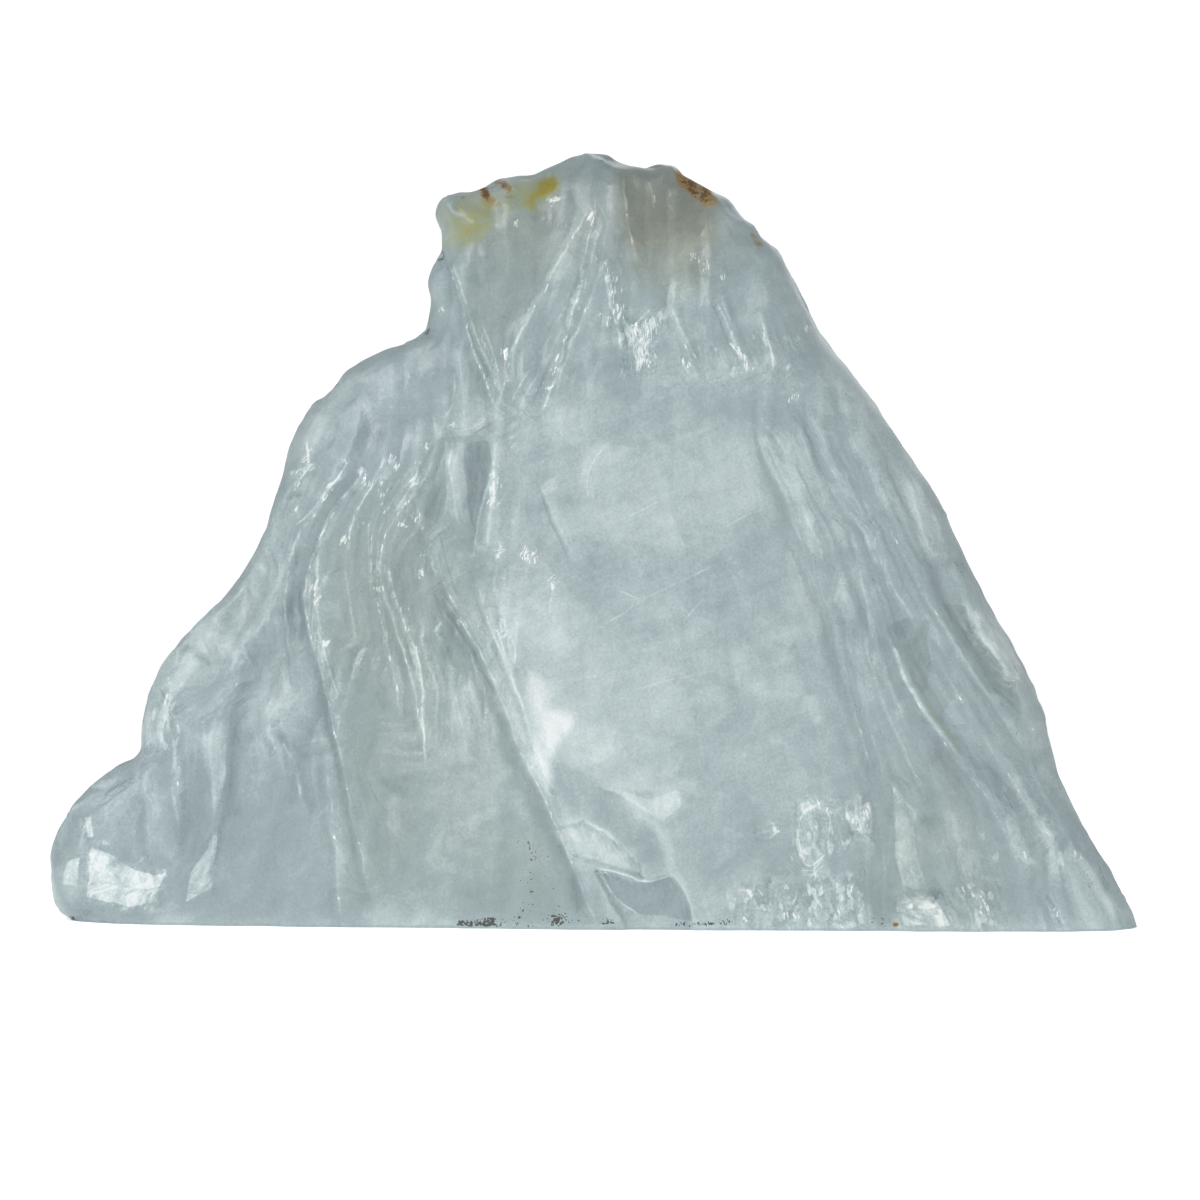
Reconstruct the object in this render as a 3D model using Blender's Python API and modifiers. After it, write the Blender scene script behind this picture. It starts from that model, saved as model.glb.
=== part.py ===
"""Selenite slab: one rough piece of fibrous gypsum, sawn flat along the bottom so that it stands.

The slab is drawn from the front, on a sheet in millimetres: x runs to the right and z up from the
sawn foot. A prism of that outline is remeshed into even cells, and its front and back are then moved
to the cleaved surfaces: a thick body that thins upwards and towards its rim, and on it the folds,
gullies and chips that run down from the crest like a curtain.

The front faces -Y. The origin is on the sawn foot, under the middle of the slab.
"""

import math

import bmesh
import bpy
import numpy as np
from mathutils import Vector, noise

# Driving sizes, in metres.
WIDTH = 0.220
FOOT_DEPTH = 0.046
CREST_DEPTH = 0.025

# The sheet that the slab is drawn on is 220 mm wide, so everything on it follows WIDTH. The folds swell
# further forward than the back does, so the body sits a little behind the middle.
DRAWN_WIDTH = 220.0
DRAWN_HEIGHT = 156.0
SET_BACK = 2.45
UNIT = WIDTH / DRAWN_WIDTH

# Meshing, on the sheet's scale.
CELL = 1.1
TRIANGLES = 9200
SAW_OVERRUN = 6.0

# How the slab rounds off towards its outline: the share of its depth left at the rim, how far that
# wanders between front and back and over what length, the least wall, and how far in the rounding
# reaches, low down and at the crest.
RIM_SHARE = 0.40
RIM_WANDER = 0.62
RIM_GRAIN = 30.0
RIM_LEAST = 0.24
ROUNDING_LOW = 22.0
ROUNDING_HIGH = 12.0
END_THINNING = 0.22

# The rim's wall shows the edges of the cleavage plates, each drawn back a little from the outline.
PLATE = 3.4
PLATE_RETREAT = 3.2
PLATE_GRAIN = 26.0

# The outline without its sawn foot, from the left end of the foot over the crest to the right toe.
LEFT_LOBE = [(-103, 0), (-107.3, 1.6), (-109.2, 4.5), (-110, 8), (-109.6, 13), (-108, 18), (-105, 23.5),
             (-101, 28), (-96.5, 31.3), (-92.3, 33.3)]
LEFT_FLANK = [(-92.1, 35), (-92, 39), (-91, 43), (-89, 47.7), (-86, 53), (-82.5, 57.5), (-78, 62),
              (-73, 68), (-69, 74.5), (-66, 81), (-63.5, 88), (-62, 95), (-59.5, 101), (-57, 105),
              (-54, 106.7), (-52, 109), (-51, 112), (-44, 116), (-38, 118), (-34, 119.5)]
BROKEN_TOP = [(-33.6, 124), (-33.8, 131), (-32.5, 133.4), (-31, 134), (-31.2, 137), (-32, 141),
              (-32.6, 144.5), (-31, 147), (-25, 148.5), (-21.5, 149.8), (-20, 151), (-13, 151.5),
              (-8, 153.7), (-3, 156), (0, 155.7), (3, 154), (5.5, 152.8), (9, 153), (12.5, 153.6),
              (15, 152.4), (17, 151), (21.5, 149), (25, 147)]
RIGHT_FLANK = [(28, 143.3), (32.5, 139), (36, 136.5), (38, 133), (42, 126), (45.5, 119), (49, 114.5),
               (51, 112), (55.5, 106), (62, 96), (67, 89), (70, 84), (71.5, 79.5), (74, 73.5), (79, 64),
               (84, 55.5), (87.5, 48.5), (90, 42), (91.5, 36), (93, 30), (96.5, 22), (102, 13),
               (107.5, 4.5), (110, 0)]
OUTLINE = LEFT_LOBE + LEFT_FLANK + BROKEN_TOP + RIGHT_FLANK

# Folds: cleavage steps that run down the front. Each is (height, reach, proud side, points). The
# proud side stands up by the height along the line and sinks back over the reach. It is EAST, the
# right of a line drawn downwards, or WEST, its left.
EAST, WEST = 1, -1
CREST_FOLDS = {
    "left_gully": (2.2, 9, EAST, [(-30, 138), (-29, 132), (-27, 126), (-26, 121), (-24, 115), (-20, 104)]),
    "fan_left": (1.8, 3.5, EAST, [(0, 149), (-4, 140), (-9, 132), (-13, 124), (-17, 117), (-20, 103)]),
    "fan_middle": (1.4, 3, EAST, [(2, 146), (0, 138), (-2, 130), (-6, 122), (-10, 115), (-16, 103)]),
    "fan_right": (1.5, 4, EAST, [(2.5, 136), (-1, 127), (-4, 120), (-6.5, 114), (-9, 108), (-12, 102)]),
    "crest_spine": (2.0, 5, WEST, [(5.5, 154), (6.5, 147), (7.2, 141), (9, 134)]),
    "blade": (1.6, 3, WEST, [(2.5, 135), (4, 129), (5, 124), (6, 117)]),
    "nick_left": (1.3, 4, WEST, [(16, 126), (18, 120), (21, 110)]),
    "nick_middle": (1.6, 4, WEST, [(25.5, 129), (28.5, 120), (31.5, 111)]),
    "nick_right": (1.2, 4, WEST, [(33.5, 125), (35.5, 118), (37, 113)]),
    "knot_ledge": (1.3, 5, WEST, [(-12, 106), (-17, 103), (-21, 102), (-25, 100), (-30, 98)]),
}
DRAPE_FOLDS = {
    "drape_inner": (2.0, 4, EAST, [(-30, 101), (-33, 93), (-37, 87), (-42, 81), (-44, 73), (-42, 65),
                                   (-38, 53), (-35, 41), (-34, 31)]),
    "drape_second": (1.6, 3.2, WEST, [(-37, 98), (-42, 88), (-45, 79), (-45, 72), (-43, 62), (-40, 49),
                                      (-38, 39)]),
    "drape_third": (1.5, 4, EAST, [(-41, 98), (-45, 90), (-49, 83), (-50.5, 75), (-50, 66), (-48, 56)]),
    "drape_outer": (1.8, 5, WEST, [(-49, 95), (-54, 87), (-60, 79.5), (-62, 71), (-62.5, 63), (-61, 54)]),
    "drape_long": (2.4, 5, EAST, [(-46, 94), (-52, 86), (-56.5, 77), (-59, 69), (-58, 60), (-55, 50),
                                  (-52.5, 39), (-50, 27), (-47.5, 16), (-45, 4)]),
    "drape_tongue": (1.3, 3, EAST, [(-56, 73), (-56.5, 65), (-54.5, 57), (-52, 51), (-51.5, 45)]),
    "drape_foot": (1.6, 5, EAST, [(-55, 38), (-53.5, 27), (-52.5, 17), (-52, 8), (-51, -4)]),
    "curtain_edge": (1.6, 3, EAST, [(-37, 90), (-35.5, 83), (-33.5, 75), (-31, 68)]),
    "curtain_hem": (1.3, 10, EAST, [(-47, 29), (-40, 31), (-34, 31.5), (-28, 33), (-22, 35)]),
    "curtain_pleat": (1.2, 3, WEST, [(-32, 62), (-29, 53), (-27, 44), (-25.5, 33)]),
}
LEFT_FOLDS = {
    "shoulder_inner": (2.4, 6, WEST, [(-67, 60), (-71, 54), (-73.5, 45), (-74.5, 36), (-75, 27), (-76.5, 17),
                                      (-80, 5)]),
    "shoulder_outer": (2.0, 5, WEST, [(-83, 54), (-86, 46), (-85.5, 38), (-84, 30), (-83.5, 22), (-85, 12)]),
    "lobe_seam": (1.8, 7, EAST, [(-92, 35), (-91, 27), (-90, 18), (-88, 8)]),
    "lobe_bevel": (2.2, 12, EAST, [(-90, 32), (-97, 28), (-102.5, 23), (-104.5, 16), (-106, 8)]),
    "belly": (1.4, 7, WEST, [(-67, 41), (-63, 37), (-60, 31), (-57.5, 22)]),
    "neck_ledge": (1.4, 9, WEST, [(-71, 72), (-66, 73), (-62.5, 70)]),
    "waist_ledge": (1.1, 7, WEST, [(-87, 55), (-80, 53.5), (-75, 52.5), (-69, 55)]),
    "pale_blade": (1.2, 3, EAST, [(-80, 44), (-78.5, 36), (-77, 28), (-77, 20)]),
}
PANE_FOLDS = {
    "great_gully": (3.6, 16, EAST, [(-34, 82), (-32, 74), (-29, 66), (-25.5, 59), (-21.5, 52), (-18, 43),
                                    (-14.5, 34), (-9.5, 24), (-4.5, 13), (2, -4)]),
    "pane_rim": (1.3, 6, EAST, [(-24, 72), (-21.5, 62), (-18.5, 54), (-15, 45), (-11.5, 35), (-9, 27)]),
    "bright_crest": (1.6, 4, EAST, [(-20, 100), (-20.3, 92), (-21, 85), (-22, 76)]),
    "brow": (1.2, 6, EAST, [(-11, 90), (-9, 84), (-6, 78), (-3, 73)]),
}
RIGHT_FOLDS = {
    "gully_bank": (2.2, 9, EAST, [(31, 104), (35, 94), (39, 85), (42.5, 75), (46, 65), (48.5, 56),
                                  (52, 45), (55, 35), (57.5, 24), (58.5, 13), (58, -4)]),
    "fold_first": (1.4, 5, EAST, [(34, 100), (38, 91), (42, 83.5), (47, 75)]),
    "fold_second": (2.0, 5, EAST, [(51.5, 84), (53, 76), (54.5, 68), (56, 59), (57, 50), (60, 41), (65, 31),
                                   (68, 22)]),
    "fold_third": (2.4, 6, EAST, [(58, 63), (61, 54), (65, 45.5), (70, 37.5), (76, 30.5), (80, 25),
                                  (84, 16), (88, 7)]),
    "fold_fourth": (2.0, 5, EAST, [(38, 111), (43, 102), (48, 92), (54, 82), (59, 71), (64.5, 61.5), (71, 51),
                                   (78, 39), (85, 29), (91, 19), (94, 10)]),
    "fold_fifth": (2.0, 5, EAST, [(48, 106), (52, 97), (56, 88), (61, 77), (67, 66.5), (73, 57), (80, 46),
                                  (87, 34)]),
    "flank_flake": (1.5, 4, EAST, [(61, 96), (65, 86), (66, 79), (69.5, 74)]),
    "flank_pane": (1.7, 6, EAST, [(71, 75), (74.5, 66), (79, 57), (85, 49)]),
    "foot_first": (1.7, 4, EAST, [(60.3, 31), (61, 22), (61, 14), (63, 6)]),
    "foot_second": (1.7, 5, WEST, [(69, 23), (73, 12), (77, 4), (80, -4)]),
    "foot_third": (1.4, 4, EAST, [(81, 23), (84, 15), (86.5, 10)]),
    "toe_ridge": (1.8, 6, WEST, [(95.5, 19), (100, 11), (103, 6), (108, -3)]),
    "toe_split": (1.4, 4, EAST, [(92, 14), (92, 6), (94.5, -3)]),
}
FRONT_FOLDS = {**CREST_FOLDS, **DRAPE_FOLDS, **LEFT_FOLDS, **PANE_FOLDS, **RIGHT_FOLDS}
FOLD_EDGE = 0.6
FOLD_SCALE = 1.45

# Grooves: round-bottomed channels, each (depth, half width, points).
FRONT_GROOVES = {
    "dark_blade": (2.2, 2.3, [(-23.5, 100), (-23.5, 92), (-24, 84), (-24, 75)]),
    "great_gully": (1.6, 2.2, [(-33, 78), (-30.5, 67), (-27, 59.5), (-23, 52), (-19.5, 43), (-16, 34),
                               (-11, 24), (-6, 13), (0, -4)]),
    "right_gully": (1.6, 3.4, [(32, 101), (37, 89), (41, 78), (45, 66), (48, 56), (51, 46), (54.5, 35),
                               (57, 24), (58, 12), (57.5, -4)]),
    "throat": (1.5, 3.0, [(-60, 78), (-61, 70), (-61, 62)]),
}

# Chips: flat breaks with a sharp rim, each (depth, heading, points). The floor slopes down towards the
# heading, in degrees from the right end round over the crest.
FRONT_CHIPS = {
    "window": (1.8, 250, [(0, 11.5), (5, 10.5), (8, 9), (11, 9), (13, 10.5), (15.5, 10.5), (17, 8), (19, 5),
                          (20, -4), (8, -4), (4, 4), (2, 8)]),
    "scallop": (1.4, 60, [(-7.5, 20), (-2, 21.5), (5, 17), (9, 13), (10, 10), (5, 11.5), (0, 12.5),
                          (-4, 14.5)]),
    "flag": (1.2, 200, [(1, 28), (15, 27.5), (18, 25.5), (17.5, 22), (14, 19.5), (7, 25)]),
    "crest_pane": (1.6, 300, [(-29, 147), (-10, 150), (-3, 141), (-13, 122), (-20, 108), (-25, 121),
                              (-28, 134)]),
    "brown_pane": (1.2, 190, [(8, 151), (15, 150), (24, 141), (22, 131), (15, 127), (9, 134)]),
    "spark": (1.8, 100, [(4.5, 124), (13, 124), (11, 117), (9, 111.5), (7, 117)]),
    "shoulder_pane": (1.4, 330, [(-51, 108), (-45, 113), (-34, 117), (-29, 108), (-32, 101), (-44, 99),
                                 (-54, 97)]),
    "tail_pane": (1.5, 30, [(63, 57), (66, 61), (72, 56), (74, 48), (70, 42), (66, 47)]),
    "flank_window": (1.5, 215, [(67, 74), (72.5, 74), (75.5, 63), (79, 57), (85, 47), (80, 48), (72, 61)]),
    "spall": (1.5, 160, [(41, 25), (44, 26), (48, 22), (47, 15), (44, 11), (41, 16)]),
    "pock": (1.0, 90, [(32, 19.5), (35, 21), (38, 20), (36, 18), (33, 17.5)]),
    "foot_spall": (1.4, 265, [(28, 8), (34, 10), (40, 8.5), (47, 10), (53, 7), (54, -4), (28, -4)]),
    "lobe_facet": (2.0, 235, [(-102.5, 17.5), (-95.5, 13.5), (-89.5, 10), (-90, 5), (-95, 4), (-102.5, 7.5)]),
    "pale_facet": (1.4, 180, [(-77, 19), (-77, 8), (-82.5, 6), (-80, 12)]),
}
CHIP_EDGE = 0.6
CHIP_SHALLOW = 0.25

# The clear pane in the middle of the front is smoother than the folds beside it.
PANE = [(-14, 103), (-22, 70), (-8, 24), (3, -6), (56, -6), (50, 50), (33, 100), (10, 108)]
PANE_CALM = 0.35
PANE_BORDER = 9.0

# The broad swells of the front, each (height, x, z, radius).
FRONT_SWELLS = [(4.6, 12, 50, 40), (2.4, -64, 24, 20), (1.6, 68, 40, 22), (-2.6, -45, 64, 16),
                (-1.8, -12, 122, 14), (1.5, 24, 120, 16)]

# The back is a flatter cleavage face: long straight steps that fan out from above the crest.
BACK_STEPS = 13
BACK_STEP_HEIGHT = 1.5
BACK_SEED = 7.0

# The rough of the rim is the same each time that the slab is made.
NOISE_SEED = 7

# The relief that is left at the rim, and how far in it is whole; and the rough of the broken rim.
RELIEF_AT_RIM = 0.3
RELIEF_FADE = 4.0
WALL_FACING = 0.6
WALL_SOFTENING = 2
WALL_ROUGHNESS = 0.5
BROKEN_ROUGHNESS = 1.3
BROKEN_ABOVE = 112.0

# The fibres fan out with the flanks: this far apart at the foot, and closing by this much a unit up.
# Above the knot they run side by side and fade.
FAN_FOOT = 110.0
FAN_CLOSING = 0.53
FAN_TOP = 100.0
FIBRES_AT_CREST = 0.45

STONE_COLOUR = (0.48, 0.56, 0.57, 1.0)
STONE_ROUGHNESS = 0.35


def smooth_line(points, rounds=2):
    """The points with their corners cut, so that a fold bends and doesn't kink."""
    line = np.array(points, float)
    for _ in range(rounds):
        near = line[:-1] * 0.75 + line[1:] * 0.25
        far = line[:-1] * 0.25 + line[1:] * 0.75
        middle = np.stack([near, far], axis=1).reshape(-1, 2)
        line = np.vstack([line[:1], middle[1:-1], line[-1:]])
    return line


def along_line(x, z, line):
    """For each point: its distance from the line, that distance eastwards, and its share of the way along."""
    best = np.full(x.shape, np.inf)
    east = np.zeros(x.shape)
    share = np.zeros(x.shape)
    lengths = np.hypot(*np.diff(line, axis=0).T)
    start = 0.0
    for (ax, az), (bx, bz), length in zip(line[:-1], line[1:], lengths):
        tx, tz = (bx - ax) / length, (bz - az) / length
        run = np.clip((x - ax) * tx + (z - az) * tz, 0.0, length)
        dx, dz = x - ax - run * tx, z - az - run * tz
        away = np.hypot(dx, dz)
        nearer = away < best
        best = np.where(nearer, away, best)
        east = np.where(nearer, np.copysign(away, dz * tx - dx * tz), east)
        share = np.where(nearer, (start + run) / lengths.sum(), share)
        start += length
    return best, east, share


def ease(value):
    """Nought to one, with level ends."""
    value = np.clip(value, 0.0, 1.0)
    return value * value * (3.0 - 2.0 * value)


def fold(x, z, height, reach, side, points):
    """A cleavage step: steep on one side of its line, and sinking back slowly on the proud side."""
    _, east, share = along_line(x, z, smooth_line(points))
    proud = east * side
    step = 1.0 / (1.0 + np.exp(-np.clip(proud / FOLD_EDGE, -30.0, 30.0)))
    ends = ease(share / 0.14) * ease((1.0 - share) / 0.14)
    return height * ends * step * np.exp(-np.maximum(proud, 0.0) / reach)


def groove(x, z, depth, half_width, points):
    away, _, share = along_line(x, z, smooth_line(points))
    ends = ease(share / 0.2) * ease((1.0 - share) / 0.2 + 0.3)
    return -depth * ends * np.exp(-((away / half_width) ** 2))


def inside(x, z, points):
    """Whether each point is inside the closed outline."""
    found = np.zeros(x.shape, bool)
    corners = np.array(points, float)
    for (ax, az), (bx, bz) in zip(corners, np.roll(corners, -1, axis=0)):
        if az == bz:
            continue
        crosses = ((az > z) != (bz > z)) & (x < (bx - ax) * (z - az) / (bz - az) + ax)
        found ^= crosses
    return found


def chip(x, z, depth, heading, points):
    """A flat break with a sharp rim, whose floor slopes down towards its heading."""
    away, _, _ = along_line(x, z, np.array([*points, points[0]], float))
    inward = np.where(inside(x, z, points), away, -away)
    corners = np.array(points, float)
    facing = np.array([math.cos(math.radians(heading)), math.sin(math.radians(heading))])
    reach = corners @ facing
    slope = np.clip((x * facing[0] + z * facing[1] - reach.min()) / np.ptp(reach), 0.0, 1.0)
    return -depth * (CHIP_SHALLOW + (1.0 - CHIP_SHALLOW) * slope) * ease(inward / CHIP_EDGE * 0.5 + 0.5)


def calm(x, z):
    """How much of the fibre noise is left: little on the clear pane in the middle, and less at the crest."""
    away, _, _ = along_line(x, z, np.array([*PANE, PANE[0]], float))
    inward = np.where(inside(x, z, PANE), away, 0.0)
    on_pane = 1.0 - (1.0 - PANE_CALM) * ease(inward / PANE_BORDER)
    return on_pane * (1.0 - (1.0 - FIBRES_AT_CREST) * ease((z - FAN_TOP) / 20.0))


def fibre_noise(x, z, across, along, seed):
    """Noise drawn out along the fibres, which fan out with the flanks."""
    fan = x / (FAN_FOOT - FAN_CLOSING * np.minimum(z, FAN_TOP)) * FAN_FOOT
    return np.array([noise.noise(Vector((u / across, v / along, seed))) for u, v in zip(fan, z)])


def front_relief(x, z):
    """How far the front stands out from the smooth body."""
    relief = np.zeros(x.shape)
    for height, reach, side, points in FRONT_FOLDS.values():
        relief += fold(x, z, height * FOLD_SCALE, reach, side, points)
    for one in FRONT_GROOVES.values():
        relief += groove(x, z, *one)
    for one in FRONT_CHIPS.values():
        relief += chip(x, z, *one)
    for height, cx, cz, radius in FRONT_SWELLS:
        relief += height * np.exp(-((x - cx) ** 2 + (z - cz) ** 2) / radius**2)
    fibres = 1.7 * fibre_noise(x, z, 9.0, 46.0, 1.0) + 0.9 * fibre_noise(x, z, 3.6, 26.0, 2.0)
    return relief + fibres * calm(x, z)


def back_relief(x, z):
    """How far the back stands out from the smooth body."""
    relief = 1.3 * fibre_noise(x, z, 15.0, 60.0, 11.0) + 0.6 * fibre_noise(x, z, 4.0, 40.0, 12.0)
    for number in range(BACK_STEPS):
        place = (number + 0.5) / BACK_STEPS * 2.0 - 1.0
        wander = noise.noise(Vector((number * 1.7, BACK_SEED, 0.0)))
        top = 128.0 + 24.0 * noise.noise(Vector((number * 2.3, BACK_SEED, 5.0))) - 52.0 * abs(place)
        foot = max(-6.0, 34.0 * noise.noise(Vector((number * 3.1, BACK_SEED, 9.0))))
        points = []
        for share in (0.0, 0.25, 0.5, 0.75, 1.0):
            height = top + (foot - top) * share
            fan = place * 0.92 + 0.05 * noise.noise(Vector((number * 1.3, share * 2.0, BACK_SEED)))
            points.append((fan * (FAN_FOOT - FAN_CLOSING * height), height))
        side = EAST if wander > 0.0 else WEST
        relief += fold(x, z, BACK_STEP_HEIGHT * (0.7 + abs(wander)), 9.0, side, points)
    return relief


def rim_of(x, z):
    """For each point: its distance from the outline, how far along that is, and the way inwards."""
    away = np.full(x.shape, np.inf)
    run_at = np.zeros(x.shape)
    inward_x = np.zeros(x.shape)
    inward_z = np.zeros(x.shape)
    start = 0.0
    for (ax, az), (bx, bz) in zip(OUTLINE[:-1], OUTLINE[1:]):
        length = math.hypot(bx - ax, bz - az)
        tx, tz = (bx - ax) / length, (bz - az) / length
        run = np.clip((x - ax) * tx + (z - az) * tz, 0.0, length)
        gap = np.hypot(x - ax - run * tx, z - az - run * tz)
        nearer = gap < away
        away = np.where(nearer, gap, away)
        run_at = np.where(nearer, start + run, run_at)
        inward_x = np.where(nearer, tz, inward_x)
        inward_z = np.where(nearer, -tx, inward_z)
        start += length
    return away, run_at, inward_x, inward_z


def wander(run, grain, seed):
    """A slow noise of about one either way, along the outline."""
    steps = np.arange(0.0, run.max() + grain, grain / 8.0)
    values = [1.6 * noise.noise(Vector((step / grain, seed, 0.5))) for step in steps]
    return np.interp(run, steps, values)


def body_faces(x, z, away, run):
    """The front and back of the smooth body, which thins upwards and draws in towards its rim."""
    height = np.clip(z / DRAWN_HEIGHT, 0.0, 1.0)
    depth = (FOOT_DEPTH + (CREST_DEPTH - FOOT_DEPTH) * height) / UNIT
    depth = depth * (1.0 - END_THINNING * (x / DRAWN_WIDTH * 2.0) ** 2)
    lean = RIM_WANDER * wander(run, RIM_GRAIN, 3.0)
    rim_front = RIM_SHARE + lean
    rim_back = RIM_SHARE - lean + 0.4 * RIM_WANDER * wander(run, RIM_GRAIN * 0.6, 8.0)
    thin = np.maximum(RIM_LEAST - rim_front - rim_back, 0.0) / 2.0
    rounding = ROUNDING_LOW + (ROUNDING_HIGH - ROUNDING_LOW) * height
    inward = np.clip(away / rounding, 0.0, 1.0)
    swell = np.sqrt(1.0 - (1.0 - inward) ** 2)
    front = rim_front + thin + (1.0 - rim_front - thin) * swell
    back = rim_back + thin + (1.0 - rim_back - thin) * swell
    return -front * depth / 2.0, back * depth / 2.0


def plate_retreat(y, share, away, run):
    """How far the cleavage plates draw back at the rim: each has its own edge, and the middle one none."""
    deep = y / PLATE
    layer = np.floor(deep)
    shelf = layer + ease((deep - layer - 0.5) / 0.6 + 0.5) - 0.5
    retreat = np.zeros(y.shape)
    near = np.flatnonzero(away < PLATE_RETREAT * 3.0)
    for index in near:
        spot = Vector((shelf[index] * 0.9, run[index] / PLATE_GRAIN, 4.0))
        retreat[index] = abs(noise.noise(spot)) * 2.2
    outer = ease(abs(share - 0.5) / 0.3 - 0.2)
    near_rim = np.clip(1.0 - away / (PLATE_RETREAT * 3.0), 0.0, 1.0)
    return PLATE_RETREAT * np.minimum(retreat, 1.0) * outer * near_rim


def prism():
    """The outline as a closed prism of even square cells, in drawing units, running below the foot."""
    left, right = OUTLINE[0], OUTLINE[-1]
    corners = [*OUTLINE, (right[0], -SAW_OVERRUN), (left[0], -SAW_OVERRUN)]
    form = bmesh.new()
    half = FOOT_DEPTH / UNIT / 2.0
    front = form.faces.new([form.verts.new((x, -half, z)) for x, z in corners])
    grown = bmesh.ops.extrude_face_region(form, geom=[front])
    moved = [item for item in grown["geom"] if isinstance(item, bmesh.types.BMVert)]
    bmesh.ops.translate(form, verts=moved, vec=(0.0, 2.0 * half, 0.0))
    bmesh.ops.recalc_face_normals(form, faces=form.faces)
    mesh = bpy.data.meshes.new("prism")
    form.to_mesh(mesh)
    form.free()
    block = bpy.data.objects.new("prism", mesh)
    bpy.context.scene.collection.objects.link(block)
    cells = block.modifiers.new("cells", "REMESH")
    cells.mode = "VOXEL"
    cells.voxel_size = CELL
    bpy.context.view_layer.update()
    evaluated = block.evaluated_get(bpy.context.evaluated_depsgraph_get())
    even = bpy.data.meshes.new_from_object(evaluated)
    bpy.data.objects.remove(block)
    return even


def cleave(mesh):
    """Moves the prism's front and back to the slab's cleaved surfaces, and its walls with them."""
    count = len(mesh.vertices)
    place = np.empty(count * 3)
    mesh.vertices.foreach_get("co", place)
    place = place.reshape(-1, 3)
    x, y, z = place.T.copy()
    away, run, inward_x, inward_z = rim_of(x, z)
    front, back = body_faces(x, z, away, run)
    fade = RELIEF_AT_RIM + (1.0 - RELIEF_AT_RIM) * ease(away / RELIEF_FADE)
    share = np.clip(y / (FOOT_DEPTH / UNIT) + 0.5, 0.0, 1.0)
    ahead = share < 0.999
    behind = share > 0.001
    front[ahead] -= front_relief(x[ahead], z[ahead]) * fade[ahead]
    back[behind] += back_relief(x[behind], z[behind]) * fade[behind]
    place[:, 1] = front + (back - front) * share
    drawn_in = plate_retreat(place[:, 1], share, away, run)
    place[:, 0] += inward_x * drawn_in
    place[:, 2] += inward_z * drawn_in
    roughness = WALL_ROUGHNESS + (BROKEN_ROUGHNESS - WALL_ROUGHNESS) * ease((z - BROKEN_ABOVE) / 30.0)
    roughness *= np.clip(1.0 - away / 9.0, 0.0, 1.0)
    for row, amount in zip(place, roughness):
        if amount > 0.0:
            nudge = noise.noise_vector(Vector(row) / 4.5) * amount
            row[0] += nudge.x
            row[1] += nudge.y
            row[2] += nudge.z
    place[:, 1] += SET_BACK
    mesh.vertices.foreach_set("co", (place * UNIT).ravel())
    mesh.update()


def soften_rim(mesh):
    """Takes the saw teeth of the cells off the rim's wall, and leaves the folds of the front sharp."""
    form = bmesh.new()
    form.from_mesh(mesh)
    wall = [vert for vert in form.verts if abs(vert.normal.y) < WALL_FACING]
    for _ in range(WALL_SOFTENING):
        bmesh.ops.smooth_vert(form, verts=wall, factor=0.5, use_axis_x=True, use_axis_y=True, use_axis_z=True)
    form.to_mesh(mesh)
    form.free()


def thin_out(mesh):
    """The mesh with its cells joined up where it is flat, so that the triangles are where the folds are."""
    block = bpy.data.objects.new("thinning", mesh)
    bpy.context.scene.collection.objects.link(block)
    fewer = block.modifiers.new("fewer", "DECIMATE")
    fewer.ratio = TRIANGLES / (2.0 * len(mesh.polygons))
    fewer.use_collapse_triangulate = True
    bpy.context.view_layer.update()
    evaluated = block.evaluated_get(bpy.context.evaluated_depsgraph_get())
    thinned = bpy.data.meshes.new_from_object(evaluated)
    bpy.data.objects.remove(block)
    return thinned


def saw_foot(mesh):
    """Cuts the slab off flat at the foot."""
    form = bmesh.new()
    form.from_mesh(mesh)
    cut = bmesh.ops.bisect_plane(
        form,
        geom=[*form.verts, *form.edges, *form.faces],
        dist=UNIT * 0.01,
        plane_co=(0.0, 0.0, 0.0),
        plane_no=(0.0, 0.0, 1.0),
        clear_inner=True,
    )
    rim = [item for item in cut["geom_cut"] if isinstance(item, bmesh.types.BMEdge)]
    bmesh.ops.edgeloop_fill(form, edges=rim)
    for vert in form.verts:
        if abs(vert.co.z) < UNIT * 0.02:
            vert.co.z = 0.0
    bmesh.ops.triangulate(form, faces=form.faces)
    bmesh.ops.recalc_face_normals(form, faces=form.faces)
    form.to_mesh(mesh)
    form.free()


def stone_material():
    material = bpy.data.materials.new("selenite")
    material.use_nodes = True
    shader = material.node_tree.nodes["Principled BSDF"]
    shader.inputs["Base Color"].default_value = STONE_COLOUR
    shader.inputs["Roughness"].default_value = STONE_ROUGHNESS
    shader.inputs["Metallic"].default_value = 0.0
    return material


def main():
    for obj in list(bpy.data.objects):
        bpy.data.objects.remove(obj)
    noise.seed_set(NOISE_SEED)
    even = prism()
    cleave(even)
    soften_rim(even)
    mesh = thin_out(even)
    saw_foot(mesh)
    mesh.name = "selenite_slab"
    mesh.materials.clear()
    mesh.materials.append(stone_material())
    slab = bpy.data.objects.new("selenite_slab", mesh)
    mesh.shade_smooth()
    mesh.set_sharp_from_angle(angle=math.radians(35.0))
    stone = bpy.data.collections.new("selenite slab")
    bpy.context.scene.collection.children.link(stone)
    stone.objects.link(slab)


main()
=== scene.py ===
# %% [markdown]
# # A slab of selenite
#
# Selenite is gypsum that grew in long fibres. A raw slab of it splits along those fibres, so its front is
# a curtain of folds, ledges and thin flakes, and its foot is sawn flat so that it stands by itself. The
# stone is clear in places and milky in others, and light goes some way in before it comes out again.
#
# This lesson makes one slab in three parts: a camera and a plain white studio, the stone's shape, and the
# stone's finish. The solid that the slab has in the frame is already the right size, and stands where
# the slab stands, so every measure here follows it.

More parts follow.
